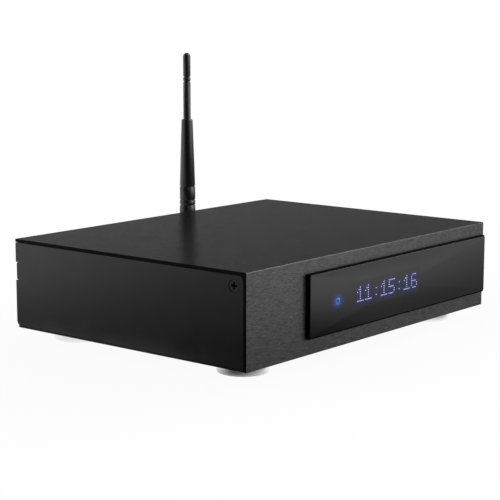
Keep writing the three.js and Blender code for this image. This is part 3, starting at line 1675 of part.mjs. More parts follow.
for (const [place, x, y] of footPlaces()) {
  addPiece("foot_" + place, foot(x, y), turnedAluminium);
  addPiece("foot_pad_" + place, footPad(x, y), rubberBlack);
  addPiece("foot_screw_" + place, footScrew(x, y), bareSteel);
}

addPiece("display_block", displayBlock(), glossBlack);
addPiece("display_tube", displayTube(), darkGlass);
addPiece("light_ring", lightRing(), clearLight);
addPiece("infrared_receiver", infraredReceiver(), mouldedBlack);
addPiece("display_board", displayBoard(), circuitGreen);
addPiece("display_ribbon", displayRibbon(), cableGrey);

addPiece("main_board", mainBoard(), circuitGreen);
addPiece("heatsink", heatsink(), turnedAluminium);
addPiece("fan_frame", fanFrame(), mouldedBlack);
addPiece("fan_rotor", fanRotor(), mouldedBlack);
addPiece("fan_lead", fanLead(), mouldedBlack);

addPiece("power_socket", powerSocket(), mouldedBlack);
addPiece("usb_socket_rear", usbStack(), bareSteel);
addPiece("network_socket", networkSocket(), bareSteel);
addPiece("video_socket", videoSocket(), bareSteel);
addPiece("optical_socket", opticalSocket(), mouldedBlack);
addPiece("audio_socket", audioSocket(), mouldedBlack);
const sideNames = ["usb_socket_side_front", "usb_socket_side_rear"];
for (const [index, y] of usbSidePlaces().entries()) {
  addPiece(sideNames[index], sideUsbSocket(y), bareSteel);
}
addPiece("card_socket", cardSocket(), bareSteel);

addPiece("switch_housing", switchHousing(), mouldedBlack);
const rockerPivot = new THREE.Group();
rockerPivot.position.set(switchX, rockerY, switchFromBottom);
rockerPivot.rotation.x = -rockerTilt;
casing.add(rockerPivot);
addPiece("switch_rocker", switchRocker(), mouldedBlack, rockerPivot);

addPiece("antenna_connector", antennaConnector(), goldMetal);
addPiece("antenna_panel_nut", antennaPanelNut(), goldMetal);
addPiece("antenna_coupling_nut", couplingNut(), goldMetal);
addPiece("antenna_elbow", antennaElbow(), satinBlack);
addPiece("antenna_pin", antennaPin(), bareSteel);
addPiece("antenna_lead", antennaLead(), mouldedBlack);
const antennaHinge = new THREE.Group();
antennaHinge.position.set(antennaX, antennaY, antennaFromBottom);
casing.add(antennaHinge);
addPiece("antenna_sleeve", antennaSleeve(), satinBlack, antennaHinge);
addPiece("antenna_rod", antennaRod(), satinBlack, antennaHinge);

// The casing moves so that the origin lies under the middle of the whole player, on its stand.
const frontmost = -(tapeThickness + displayDepth);
const rearmost = antennaY + sleeveFootRadius;
casing.position.set(-casingWidth / 2, -middle(frontmost, rearmost), footHeight);

const player = new THREE.Group();
player.add(casing);

export default player;
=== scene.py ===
"""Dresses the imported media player: finishes, display, turned feet, antenna and stage.

Lengths are in metres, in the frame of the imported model. Places on the casing are given in millimetres
from its front left lower corner, with X to the right, Y to the rear and Z up.
"""

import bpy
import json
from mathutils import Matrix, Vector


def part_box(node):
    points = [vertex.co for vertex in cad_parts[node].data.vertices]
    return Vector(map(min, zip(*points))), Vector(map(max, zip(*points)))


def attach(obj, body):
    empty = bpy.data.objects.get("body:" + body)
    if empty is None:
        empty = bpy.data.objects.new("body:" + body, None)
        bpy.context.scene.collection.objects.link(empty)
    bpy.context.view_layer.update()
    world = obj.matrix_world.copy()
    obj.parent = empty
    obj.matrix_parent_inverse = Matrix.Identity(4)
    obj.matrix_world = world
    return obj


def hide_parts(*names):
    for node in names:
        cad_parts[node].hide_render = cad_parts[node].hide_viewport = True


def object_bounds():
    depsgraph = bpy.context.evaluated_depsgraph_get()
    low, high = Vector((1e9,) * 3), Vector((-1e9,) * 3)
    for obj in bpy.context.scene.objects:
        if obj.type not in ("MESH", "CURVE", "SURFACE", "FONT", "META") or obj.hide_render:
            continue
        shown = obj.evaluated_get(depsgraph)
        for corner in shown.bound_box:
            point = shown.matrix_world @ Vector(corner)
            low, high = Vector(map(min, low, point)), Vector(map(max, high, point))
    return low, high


bl_info = {
    "name": "Media player with hard drive tray",
    "version": (1, 0, 0),
    "blender": (4, 5, 0),
    "location": "3D View > Sidebar > Media player",
    "description": "Builds the finishes, display, feet and antenna of a media player on its packed frame",
    "category": "Object",
}

import json
from functools import partial

import bpy
import numpy as np
from bpy.props import FloatProperty, FloatVectorProperty, PointerProperty, StringProperty
from mathutils import Matrix, Vector

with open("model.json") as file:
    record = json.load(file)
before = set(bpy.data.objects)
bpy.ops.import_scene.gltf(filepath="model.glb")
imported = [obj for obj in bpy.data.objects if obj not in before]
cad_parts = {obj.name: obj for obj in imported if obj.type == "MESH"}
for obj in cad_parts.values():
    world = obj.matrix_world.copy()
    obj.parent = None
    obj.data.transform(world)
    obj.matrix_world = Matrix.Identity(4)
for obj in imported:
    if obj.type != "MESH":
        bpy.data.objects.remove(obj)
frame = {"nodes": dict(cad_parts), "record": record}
CAD_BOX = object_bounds()
CASING_CORNER = np.array(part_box("outer_shell")[0])
CORNERS = ("front_left", "front_right", "rear_left", "rear_right")
# The clock's figures, seven rows of five dots each.
DOT_PATTERNS = {
    "0": "01110 10001 10011 10101 11001 10001 01110",
    "1": "00100 01100 10100 00100 00100 00100 11111",
    "2": "01110 10001 00001 00010 00100 01000 11111",
    "3": "11111 00010 00100 00010 00001 10001 01110",
    "4": "00010 00110 01010 10010 11111 00010 00010",
    "5": "11111 10000 10000 11110 00001 00001 11110",
    "6": "01110 10000 10000 11110 10001 10001 01110",
    "7": "11111 00001 00010 00100 01000 01000 01000",
    "8": "01110 10001 10001 01110 10001 10001 01110",
    "9": "01110 10001 10001 01111 00001 00010 01100",
    ":": "00000 00000 00100 00000 00000 00100 00000",
}
# Most of a noise texture's values lie between these.
NOISE_LOW, NOISE_HIGH = 0.3, 0.7


def on_casing(x, y, z):
    """A place on the casing, in millimetres from its corner, as metres in the frame."""
    return CASING_CORNER + np.array([x, y, z]) / 1000


def box_of(node):
    """A node's lowest corner, its highest corner and its middle."""
    low, high = (np.array(corner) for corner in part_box(node))
    return low, high, (low + high) / 2


def disc_of(node):
    """The middle of an upright disc's lower face, its radius and its height."""
    low, high, middle = box_of(node)
    return np.array([middle[0], middle[1], low[2]]), (high[0] - low[0]) / 2, high[2] - low[2]


# Shapes


def add_object(name, points, faces, material, smooth_angle=35):
    """A mesh object at the origin, with its place in its points, shaded smooth except at its edges."""
    mesh = bpy.data.meshes.new(name)
    mesh.from_pydata(np.asarray(points).reshape(-1, 3), [], faces)
    mesh.materials.append(material)
    mesh.polygons.foreach_set("use_smooth", np.ones(len(mesh.polygons), bool))
    mesh.set_sharp_from_angle(angle=np.radians(smooth_angle))
    mesh.update()
    item = bpy.data.objects.new(name, mesh)
    bpy.context.scene.collection.objects.link(item)
    return item


def set_values(item, attribute, values):
    """Gives a piece an attribute, with one number for each of its points."""
    item.data.attributes.new(attribute, "FLOAT", "POINT").data.foreach_set("value", values)


def wall_faces(rows, sides, count):
    """Faces from each of a grid's first count rows to the next, closed round the grid's second axis."""
    row, side = np.meshgrid(np.arange(count), np.arange(sides), indexing="ij")
    here, above = row * sides, (row + 1) % rows * sides
    beside = (side + 1) % sides
    return np.stack([here + side, here + beside, above + beside, above + side], axis=-1).reshape(-1, 4)


def closed_faces(rows, sides):
    """The same from the first row to the last, each end shut by a fan to a point added after the grid."""
    ring = np.arange(sides)
    following = (ring + 1) % sides
    last = (rows - 1) * sides
    middle = np.full(sides, rows * sides)
    first_fan = np.stack([following, ring, middle], axis=1)
    last_fan = np.stack([last + ring, last + following, middle + 1], axis=1)
    return wall_faces(rows, sides, rows - 1).tolist() + first_fan.tolist() + last_fan.tolist()


def closed_points(grid):
    """A grid's points or values, then the mean of its first row and of its last row."""
    return np.concatenate([grid.reshape(-1, *grid.shape[2:]), grid[:1].mean(1), grid[-1:].mean(1)])


def add_closed(name, grid, material, smooth_angle=35):
    """A closed piece whose skin is a grid, with a fan at each end."""
    return add_object(name, closed_points(grid), closed_faces(*grid.shape[:2]), material, smooth_angle)


def eased(corners, radius, steps=5):
    """A line through corners with each inner corner c rounded: p(t) = (1-t)^2 a + 2t(1-t) c + t^2 b.

    a and b lie on the corner's two sides, at radius from it or half way along a shorter side.
    """
    corners = np.asarray(corners, float)
    before, here, after = corners[:-2], corners[1:-1], corners[2:]
    to_before, to_after = before - here, after - here
    long_before = np.linalg.norm(to_before, axis=1, keepdims=True)
    long_after = np.linalg.norm(to_after, axis=1, keepdims=True)
    reach = np.minimum(radius, np.minimum(long_before, long_after) / 2)
    start = here + to_before / long_before * reach
    end = here + to_after / long_after * reach
    t = np.linspace(0, 1, steps)[None, :, None]
    arcs = (1 - t) ** 2 * start[:, None] + 2 * t * (1 - t) * here[:, None] + t**2 * end[:, None]
    return np.concatenate([corners[:1], arcs.reshape(-1, corners.shape[1]), corners[-1:]])


def turned_grid(profile, centre, along, across, sides):
    """Surface of revolution: point(s, t) = centre + height(s) along + radius(s) (cos t across + sin t out).

    out is along x across, and profile holds rows of (radius, height) in metres.
    """
    profile = np.asarray(profile, float)
    along, across = np.asarray(along, float), np.asarray(across, float)
    turn = np.linspace(0, 2 * np.pi, sides, endpoint=False)
    ring = np.cos(turn)[:, None] * across + np.sin(turn)[:, None] * np.cross(along, across)
    return centre + profile[:, 1, None, None] * along + profile[:, 0, None, None] * ring


def add_turned(name, profile, centre, material, sides):
    """A piece turned about an upright line, whose attribute "turning" is the distance along its profile."""
    item = add_closed(name, turned_grid(profile, centre, (0, 0, 1), (1, 0, 0), sides), material)
    steps = np.linalg.norm(np.diff(np.asarray(profile, float), axis=0), axis=1)
    length = np.concatenate([[0], np.cumsum(steps)])
    set_values(item, "turning", closed_points(np.repeat(length[:, None], sides, axis=1)))
    return item


def rounded_rectangle(width, height, radius, steps=10):
    """Outline of a rectangle about its middle, anticlockwise from its lower right corner.

    The quarter arc at corner k is middle(k) + radius (cos a, sin a), with a from (k - 1) to k quarter turns.
    """
    signs = np.array([[1, -1], [1, 1], [-1, 1], [-1, -1]])
    middles = signs * (np.array([width, height]) / 2 - radius)
    angle = (np.arange(4)[:, None] - 1 + np.linspace(0, 1, steps)) * np.pi / 2
    arcs = middles[:, None] + radius * np.stack([np.cos(angle), np.sin(angle)], axis=-1)
    return arcs.reshape(-1, 2)


def slab_grid(outline, inset, depth):
    """A plate's skin: each row is the outline drawn in by inset(row), at depth(row) from the plate's back.

    The drawing in moves a point towards the outline's middle by inset over the half size on each axis.
    """
    half = np.abs(outline).max(0)
    drawn = outline[None] * (1 - np.asarray(inset)[:, None, None] / half)
    depths = np.broadcast_to(np.asarray(depth)[:, None, None], drawn[..., :1].shape)
    return np.concatenate([drawn, depths], -1)


# Materials


class Nodes:
    """A node tree being put together, from an empty one and the coordinates that it reads."""

    def __init__(self, tree, output, coordinates):
        self.tree = tree
        self.tree.nodes.clear()
        self.output = self.add(output)
        self.where = self.add("ShaderNodeTexCoord").outputs[coordinates]

    def add(self, kind, **settings):
        """A new node of that kind with those settings."""
        node = self.tree.nodes.new(kind)
        for setting, value in settings.items():
            setattr(node, setting, value)
        return node

    def feed(self, socket, value):
        """Joins an output to a socket, or sets the socket to a number, a vector or a colour."""
        if isinstance(value, bpy.types.NodeSocket):
            self.tree.links.new(value, socket)
        else:
            socket.default_value = (*value, 1) if socket.type == "RGBA" else value

    def made(self, kind, inputs, output=0, **settings):
        """The first or another output of a new node of that kind, with its inputs fed."""
        node = self.add(kind, **settings)
        for socket, value in inputs.items():
            self.feed(node.inputs[socket], value)
        return node.outputs[output]

    def stretched(self, scale):
        """The piece's own coordinates times scale, one number for each axis."""
        return self.made("ShaderNodeMapping", {"Vector": self.where, "Scale": scale})

    def noise(self, scale, detail=2.0, distortion=0.0, where=None):
        """Smooth noise from 0 to 1, in patches of about one over scale metres."""
        inputs = {"Scale": scale, "Detail": detail, "Distortion": distortion, "Vector": where or self.where}
        return self.made("ShaderNodeTexNoise", inputs)

    def cells(self, scale, where=None, feature="F1"):
        """Distance to the nearest of a scatter of points."""
        inputs = {"Scale": scale, "Vector": where or self.where}
        return self.made("ShaderNodeTexVoronoi", inputs, feature=feature)

    def attribute(self, name):
        """The piece's own attribute of that name."""
        return self.made("ShaderNodeAttribute", {}, "Fac", attribute_name=name)

    def axis(self, name):
        """The piece's own X, Y or Z, in metres."""
        return self.made("ShaderNodeSeparateXYZ", {"Vector": self.where}, name)

    def maths(self, operation, first, second=0.0):
        """A product, power or other result of two values, each an output or a number."""
        return self.made("ShaderNodeMath", {0: first, 1: second}, operation=operation)

    def vector(self, operation, first, second=(0, 0, 0), output=0):
        """The same for vectors."""
        return self.made("ShaderNodeVectorMath", {0: first, 1: second}, output, operation=operation)

    def distance(self, centre, scale=(1, 1, 1)):
        """Distance from a point, with each axis scaled first."""
        away = self.vector("MULTIPLY", self.vector("SUBTRACT", self.where, centre), scale)
        return self.vector("LENGTH", away, output="Value")

    def mixed(self, factor, first, second):
        """A colour from first to second, each an output or a colour."""
        inputs = {"Factor": factor, 6: first, 7: second}
        return self.made("ShaderNodeMix", inputs, 2, data_type="RGBA")

    def chosen(self, factor, first, second):
        """The value second where factor is 1 and first where it is 0, each an output or a number."""
        return self.made("ShaderNodeMix", {"Factor": factor, "A": first, "B": second})

    def spread(self, source, low, high, start=NOISE_LOW, end=NOISE_HIGH, ramp="LINEAR"):
        """Maps start..end of source on to low..high."""
        inputs = {"Value": source, "From Min": start, "From Max": end, "To Min": low, "To Max": high}
        return self.made("ShaderNodeMapRange", inputs, interpolation_type=ramp)

    def towards(self, way, away, there, start, end):
        """A value that goes from away to there as the direction, seen from above, nears way."""
        level = self.vector("NORMALIZE", self.vector("MULTIPLY", self.where, (1, 1, 0)))
        along = self.vector("DOT_PRODUCT", level, way, "Value")
        return self.spread(along, away, there, start, end, "SMOOTHSTEP")

    def rays(self):
        """Two outputs: 1 for camera rays, and 1 for mirror and glass rays."""
        path = self.add("ShaderNodeLightPath").outputs
        mirror = self.maths("MAXIMUM", path["Is Glossy Ray"], path["Is Transmission Ray"])
        return path["Is Camera Ray"], mirror


class Finish(Nodes):
    """A material being put together, with its shader and the piece's own coordinates."""

    def __init__(self, name, colour, roughness, **sockets):
        self.material = bpy.data.materials.new(name)
        self.material.use_nodes = True
        self.material.diffuse_color = (*colour, 1)
        super().__init__(self.material.node_tree, "ShaderNodeOutputMaterial", "Object")
        self.colour = np.array(colour)
        self.shader = self.add("ShaderNodeBsdfPrincipled")
        self.feed(self.output.inputs["Surface"], self.shader.outputs["BSDF"])
        self.give(Base_Color=colour, Roughness=roughness, **sockets)

    def give(self, **sockets):
        """Feeds the shader's sockets, each named with _ for its spaces."""
        for socket, value in sockets.items():
            self.feed(self.shader.inputs[socket.replace("_", " ")], value)

    def shade(self, source, dark, light, start=NOISE_LOW, end=NOISE_HIGH):
        """Base colour from dark times to light times the finish's colour."""
        share = self.spread(source, 0, 1, start, end)
        tone = self.mixed(share, self.colour * dark, np.minimum(self.colour * light, 1))
        self.give(Base_Color=tone)
        return tone

    def gloss(self, source, low, high, start=NOISE_LOW, end=NOISE_HIGH):
        """Roughness from low to high."""
        self.give(Roughness=self.spread(source, low, high, start, end))

    def relief(self, source, depth):
        """A bump of that depth in metres."""
        self.give(Normal=self.made("ShaderNodeBump", {"Strength": 1, "Distance": depth, "Height": source}))


def anodised_aluminium(settings):
    """Dark anodised plate with short wavy strokes along X, smoother on top and darker there as painted shade,
    its cut ends black.
    """
    finish = Finish("anodised_aluminium", settings.shell_colour, 0.45, Metallic=0.75)
    finish.give(Specular_Tint=(0.1, 0.1, 0.1), Specular_IOR_Level=0.2)
    top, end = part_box("outer_shell")[1][2], CAD_BOX[1][0]
    on_top = finish.maths("GREATER_THAN", finish.axis("Z"), top - 0.0002)
    at_end = finish.maths("GREATER_THAN", finish.maths("ABSOLUTE", finish.axis("X")), end - 0.00004)
    strokes = finish.noise(1, 2, 0.8, finish.stretched((290, 1400, 1400)))
    tone = finish.shade(strokes, 0.68, 1.32)
    # Painted shade: the top's colour is mixed with black.
    tone = finish.mixed(finish.maths("MULTIPLY", on_top, settings.top_painted_shade), tone, (0, 0, 0))
    finish.give(Base_Color=finish.mixed(at_end, tone, settings.edge_colour))
    mottle = finish.noise(60, 3)
    dull = finish.spread(mottle, 0.42, 0.48)
    smooth = finish.spread(mottle, settings.top_roughness - 0.02, settings.top_roughness + 0.02)
    finish.give(Roughness=finish.chosen(on_top, dull, smooth))
    finish.relief(strokes, settings.grain_depth)
    return finish.material


def panel_paint(settings):
    """Smooth matte paint with a faint orange peel."""
    finish = Finish("painted_panel", settings.panel_colour, 0.34, Specular_IOR_Level=0.58)
    finish.shade(finish.noise(25, 3), 0.92, 1.08)
    finish.gloss(finish.noise(90, 3), 0.3, 0.38)
    finish.relief(finish.noise(1400, 2), 0.00003)
    return finish.material


def black_steel(_settings):
    """Steel blackened by an oxide bath, a little uneven."""
    finish = Finish("black_steel", (0.022, 0.022, 0.024), 0.42, Metallic=0.7)
    finish.shade(finish.noise(45, 4), 0.75, 1.3)
    finish.gloss(finish.noise(160, 3), 0.36, 0.52)
    finish.relief(finish.noise(1900, 2), 0.00002)
    return finish.material


def screw_steel():
    """Blackened steel with painted shade: near black where the attribute "sunk" is 1, down in the screw's
    recess.
    """
    finish = Finish("screw_steel", (0.06, 0.06, 0.062), 0.42, Metallic=0.7, Specular_IOR_Level=0.3)
    tone = finish.shade(finish.noise(400, 3), 0.85, 1.2)
    # Painted shade: the recess is made near black where "sunk" is 1.
    finish.give(Base_Color=finish.mixed(finish.attribute("sunk"), tone, (0.0006,) * 3))
    finish.gloss(finish.noise(900, 2), 0.38, 0.5)
    return finish.material


def plated_steel(_settings):
    """Zinc-plated sheet with rolling lines along X and a faint spangle."""
    finish = Finish("plated_steel", (0.5, 0.51, 0.52), 0.34, Metallic=1.0)
    lines = finish.noise(1, 3, 0, finish.stretched((20, 1500, 1500)))
    finish.shade(finish.cells(130), 0.86, 1.08, 0.0, 0.9)
    finish.gloss(lines, 0.26, 0.44)
    finish.relief(lines, 0.000015)
    return finish.material


def moulded_black(_settings):
    """Black plastic with a fine spark-eroded texture."""
    finish = Finish("moulded_black", (0.018, 0.018, 0.019), 0.5)
    pits = finish.cells(2200)
    finish.shade(finish.noise(70, 3), 0.85, 1.2)
    finish.gloss(pits, 0.44, 0.58, 0.1, 0.8)
    finish.relief(pits, 0.00004)
    return finish.material


def circuit_board(_settings):
    """Green solder mask with copper tracks showing through as lighter bands."""
    finish = Finish("circuit_board", (0.012, 0.11, 0.045), 0.32)
    tracks = finish.cells(1, finish.stretched((260, 420, 260)), "DISTANCE_TO_EDGE")
    finish.shade(tracks, 1.7, 0.9, 0.03, 0.09)
    finish.gloss(finish.noise(300, 2), 0.26, 0.38)
    finish.relief(tracks, 0.00003)
    return finish.material


def cable_sheath(_settings):
    """Grey flat cable with the ridge of each wire showing."""
    finish = Finish("flat_cable", (0.3, 0.31, 0.33), 0.5)
    inputs = {"Scale": 250, "Vector": finish.where}
    ridges = finish.made("ShaderNodeTexWave", inputs, "Fac", bands_direction="X")
    finish.shade(ridges, 0.8, 1.1, 0.0, 1.0)
    finish.gloss(finish.noise(300), 0.45, 0.6)
    finish.relief(ridges, 0.0002)
    return finish.material


def gold_plate(_settings):
    """Thin bright gold plating, slightly rubbed."""
    finish = Finish("gold_plate", (0.72, 0.5, 0.2), 0.24, Metallic=1.0)
    finish.shade(finish.noise(350, 3), 0.85, 1.1)
    finish.gloss(finish.noise(800, 3), 0.18, 0.34)
    finish.relief(finish.noise(2600), 0.00001)
    return finish.material


def foot_rubber(_settings):
    """Dull black rubber with a powdery surface."""
    finish = Finish("foot_rubber", (0.016, 0.016, 0.016), 0.75)
    finish.shade(finish.noise(400, 4), 0.8, 1.5)
    finish.gloss(finish.noise(900), 0.68, 0.82)
    finish.relief(finish.noise(1500, 3), 0.00008)
    return finish.material


def display_glass(_settings):
    """Smoked glass of the display tube."""
    finish = Finish("display_glass", (0.06, 0.07, 0.09), 0.08, Transmission_Weight=0.5, IOR=1.5)
    finish.shade(finish.noise(60, 2), 0.8, 1.2)
    finish.gloss(finish.noise(200), 0.05, 0.12)
    return finish.material


def clear_light(settings):
    """Clear light guide, lit blue from behind."""
    finish = Finish("clear_light", (0.3, 0.45, 0.9), 0.2, Transmission_Weight=0.4, IOR=1.49)
    glow = finish.spread(finish.noise(500), 0.8, 1.4)
    finish.give(Emission_Color=settings.guide_colour, Emission_Strength=glow)
    finish.shade(finish.noise(300), 0.9, 1.1)
    return finish.material


def sawn_aluminium(_settings):
    """Bare extruded aluminium of the heatsink, drawn along Y."""
    finish = Finish("extruded_aluminium", (0.62, 0.62, 0.64), 0.36, Metallic=1.0)
    lines = finish.noise(1, 3, 0, finish.stretched((1300, 25, 1300)))
    finish.shade(lines, 0.85, 1.1)
    finish.gloss(lines, 0.28, 0.46)
    finish.relief(lines, 0.00002)
    return finish.material


def satin_black(settings):
    """Satin black plastic of the antenna, with a faint grain."""
    finish = Finish("satin_black", settings.antenna_colour, 0.34, Specular_IOR_Level=1.0)
    grain = finish.noise(1800, 2)
    finish.shade(finish.noise(120, 3), 0.85, 1.25)
    finish.gloss(grain, 0.31, 0.4)
    finish.relief(grain, 0.00002)
    return finish.material


def turned_aluminium(settings):
    """Bright aluminium with the tool's fine rings, which follow the attribute "turning"."""
    finish = Finish("turned_feet", settings.feet_colour, 0.22, Metallic=1.0)
    inputs = {"Scale": 4200, "Detail": 3, "W": finish.attribute("turning")}
    rings = finish.made("ShaderNodeTexNoise", inputs, noise_dimensions="1D")
    finish.shade(rings, 0.82, 1.08)
    finish.gloss(rings, 0.16, 0.34)
    finish.relief(rings, 0.00003)
    return finish.material


def matte_black():
    """Dull black body behind the display's polished plate."""
    finish = Finish("matte_black", (0.0012, 0.0012, 0.0013), 0.6, Specular_IOR_Level=0.03)
    finish.shade(finish.noise(90, 3), 0.8, 1.3)
    finish.gloss(finish.noise(700, 2), 0.55, 0.68)
    finish.relief(finish.noise(1600, 2), 0.00002)
    return finish.material


def glowing_black(name, settings):
    """Polished black of the display, before its glow gets a colour."""
    finish = Finish(name, settings.display_colour, 0.09, Specular_IOR_Level=0.55, Emission_Strength=1)
    finish.shade(finish.noise(30, 2), 0.85, 1.15)
    finish.gloss(finish.noise(45, 3), 0.07, 0.13)
    return finish


def polished_black(settings, centre):
    """Polished black plate that glows blue inside and round the ring at centre."""
    finish = glowing_black("gloss_black", settings)
    away = finish.distance(centre, (0.75, 1, 1))
    near = finish.maths("POWER", finish.spread(away, 1, 0, start=0.001, end=settings.halo_radius), 1.8)
    inside = finish.spread(away, 1, 0, start=0.0009, end=0.0014)
    glow = finish.mixed(near, (0, 0, 0), settings.halo_colour)
    finish.give(Emission_Color=finish.mixed(inside, glow, settings.core_colour))
    return finish.material


def glowing_film(settings):
    """The same polished black, with a glow that follows the attribute "glow"."""
    finish = glowing_black("glowing_film", settings)
    glow = finish.mixed(finish.attribute("glow"), (0, 0, 0), settings.glow_colour)
    finish.give(Emission_Color=glow)
    return finish.material


def clock_light(settings):
    """The clock dots' surface, a little uneven from dot to dot."""
    finish = Finish("clock_light", settings.dot_colour, 0.4, Emission_Color=settings.dot_colour)
    dim, bright = settings.dot_strength * 0.8, settings.dot_strength * 1.2
    finish.give(Emission_Strength=finish.spread(finish.noise(900), dim, bright))
    finish.shade(finish.noise(700), 0.8, 1.1)
    return finish.material


def ring_light(settings, centre):
    """The stand-by ring's surface, brighter at its upper right, where a highlight is painted into its glow.
    """
    finish = Finish("ring_light", settings.ring_colour, 0.4, Emission_Strength=settings.ring_strength)
    # Middle of the painted highlight, up and to the right of the ring's middle.
    lamp = centre + np.array([0.001, 0, 0.0017])
    near_painted_highlight = finish.spread(finish.distance(lamp), 1, 0, start=0.0004, end=0.0019)
    finish.give(Emission_Color=finish.mixed(near_painted_highlight, settings.ring_colour, settings.ring_painted_highlight))
    finish.shade(finish.noise(700), 0.8, 1.1)
    return finish.material


SLOT_FINISHES = {
    "anodised_aluminium": anodised_aluminium,
    "painted_panel": panel_paint,
    "black_steel": black_steel,
    "plated_steel": plated_steel,
    "moulded_black": moulded_black,
    "circuit_board": circuit_board,
    "flat_cable": cable_sheath,
    "gold_plate": gold_plate,
    "foot_rubber": foot_rubber,
    "display_glass": display_glass,
    "clear_light": clear_light,
    "turned_aluminium": sawn_aluminium,
    "satin_black": satin_black,
}
MADE_FINISHES = {}


# Sizes and colours

Colour = partial(FloatVectorProperty, subtype="COLOR", size=3)
Length = partial(FloatProperty, unit="LENGTH", min=0, precision=6)
Power = partial(FloatProperty, unit="POWER", min=0)
Level = partial(FloatProperty, min=0)


class PlayerFinish(bpy.types.PropertyGroup):
    """Colours and grain of the casing, feet and antenna."""

    shell_colour: Colour(
        name="Shell colour", description="Anodised top and front", default=(0.126, 0.126, 0.127)
    )
    panel_colour: Colour(
        name="Panel colour", description="Painted side panels", default=(0.009, 0.009, 0.0093)
    )
    antenna_colour: Colour(
        name="Antenna colour", description="Antenna plastic", default=(0.0012, 0.0012, 0.0013)
    )
    feet_colour: Colour(name="Feet colour", description="Turned aluminium", default=(0.8, 0.8, 0.81))
    grain_depth: Length(name="Grain depth", description="Depth of the shell's strokes", default=0.00009)
    top_roughness: Level(name="Top's roughness", description="Of the shell's top", default=0.2, min=0.03)
    # Painted shade: the share of black mixed into the shell's top colour.
    top_painted_shade: Level(name="Top's shade", description="Share of black in the shell's top", default=0.31)
    edge_colour: Colour(name="Edge colour", description="Shell's cut ends", default=(0.012, 0.012, 0.012))
    guide_colour: Colour(
        name="Light guide", description="Clear guides' own light", default=(0.05, 0.14, 0.45)
    )


class PlayerDisplay(bpy.types.PropertyGroup):
    """The display block's text, light and glow."""

    clock_text: StringProperty(
        name="Clock", description="Digits and colons that the display shows", default="11:15:16"
    )
    display_colour: Colour(name="Block colour", description="Polished block", default=(0.008, 0.008, 0.009))
    ring_colour: Colour(name="Ring colour", description="Stand-by ring", default=(0.02, 0.075, 0.26))
    # Painted highlight: the glow colour at the ring's upper right.
    ring_painted_highlight: Colour(name="Ring's bright part", description="By its lamp", default=(0.14, 0.24, 0.48))
    core_colour: Colour(name="Core colour", description="Inside the ring", default=(0.0, 0.035, 0.18))
    halo_colour: Colour(name="Halo colour", description="Round the ring", default=(0.0, 0.055, 0.27))
    halo_radius: Length(
        name="Halo radius", description="Reach of the glow round the ring", default=0.006, min=0.001
    )
    ring_strength: Level(name="Ring light", description="Brightness of the ring", default=1.0)
    dot_colour: Colour(name="Dot colour", description="Clock's dots", default=(0.42, 0.44, 0.66))
    dot_strength: Level(name="Dot light", description="Brightness of the clock's dots", default=1.1)
    dot_pitch: Length(name="Dot pitch", description="Distance from dot to dot", default=0.00143, min=0.0005)
    dot_size: Length(name="Dot size", description="Width of a dot", default=0.0008, min=0.0001)
    clock_start: Length(
        name="Clock start", description="First figure's middle, from the casing's left side", default=0.1056
    )
    figure_pitch: Length(name="Figure pitch", description="Distance from figure to figure", default=0.00852)
    glow_colour: Colour(name="Glow colour", description="Round the clock's dots", default=(0.0, 0.006, 0.17))
    glow_reach: Length(
        name="Glow reach", description="Distance in which the dots' glow fades", default=0.0013, min=0.0001
    )
    glow_margin: Length(
        name="Glow margin", description="Width of the glowing film round the dots", default=0.004
    )
    plate_depth: Length(name="Plate depth", description="Thickness of the polished plate", default=0.0009)
    end_round: Length(
        name="End rounding", description="Radius at the right end, seen from above", default=0.001
    )
    surround: Length(name="Surround", description="Black edge round the polished plate", default=0.0007)
    # Partly the body's border and partly painted shade: the black edge under the plate is widened to stand in
    # for the shadow gap there.
    lower_surround_and_shade: Length(name="Lower surround", description="Black edge under the plate", default=0.0012)


class PlayerStage(bpy.types.PropertyGroup):
    """Camera, floor and lamps."""

    lens: FloatProperty(name="Lens", description="Focal length in millimetres", default=107.5, min=10)
    floor_size: Length(name="Floor size", description="Side of the floor", default=6.0, min=1)
    shadow_share: Level(name="Near floor", description="White share of the floor by the player", default=0.95)
    near_light: Level(name="Light by the player", description="Mirrored floor at the player", default=0.18)
    near_inner: Length(
        name="Near reach", description="Distance at which the mirrored floor brightens", default=0.135
    )
    near_outer: Length(name="Far reach", description="Distance at which it is white", default=0.32)
    skirt_light: Level(name="Light in the feet", description="Mirrored floor under the edge", default=1.1)
    skirt_dip: Level(name="Dip at the corner", description="Share of it at the front left", default=0.02)
    dim_light: Level(name="Dim side", description="Mirrored light on the studio's dim side", default=0.01)
    lit_light: Level(name="Lit side", description="How many times the mirrored light it has", default=2.2)
    far_right: Level(name="Far right", description="Share of the mirrored floor's light there", default=0.68)
    world_light: Level(name="World light", description="Strength of the even light", default=0.4)
    overhead_light: Level(name="Mirrored world", description="Its strength in reflections", default=0.5)
    far_sky: Level(name="Far sky", description="Share of it behind the player's right", default=0.65)
    key_power: Power(name="Key lamp", description="Power of the key lamp", default=5)
    side_power: Power(name="Side lamp", description="Power of the side lamp", default=2)
    fill_power: Power(name="Fill lamp", description="Power of the fill lamp", default=6)
    edge_power: Power(name="Edge lamp", description="Power of the edge lamp", default=9)


# Operators


class PLAYER_OT_casing(bpy.types.Operator):
    """Gives each carried-over piece of the model its finish."""

    bl_idname = "player.casing"
    bl_label = "Casing and inner pieces"

    def execute(self, context):
        settings = context.scene.player_finish
        MADE_FINISHES.update({slot: make(settings) for slot, make in SLOT_FINISHES.items()})
        slots = {entry["node"]: entry["material_slot"] for entry in frame["record"]["subparts"]}
        for node, item in frame["nodes"].items():
            if slots[node] in MADE_FINISHES:
                item.data.materials.clear()
                item.data.materials.append(MADE_FINISHES[slots[node]])
        return {"FINISHED"}


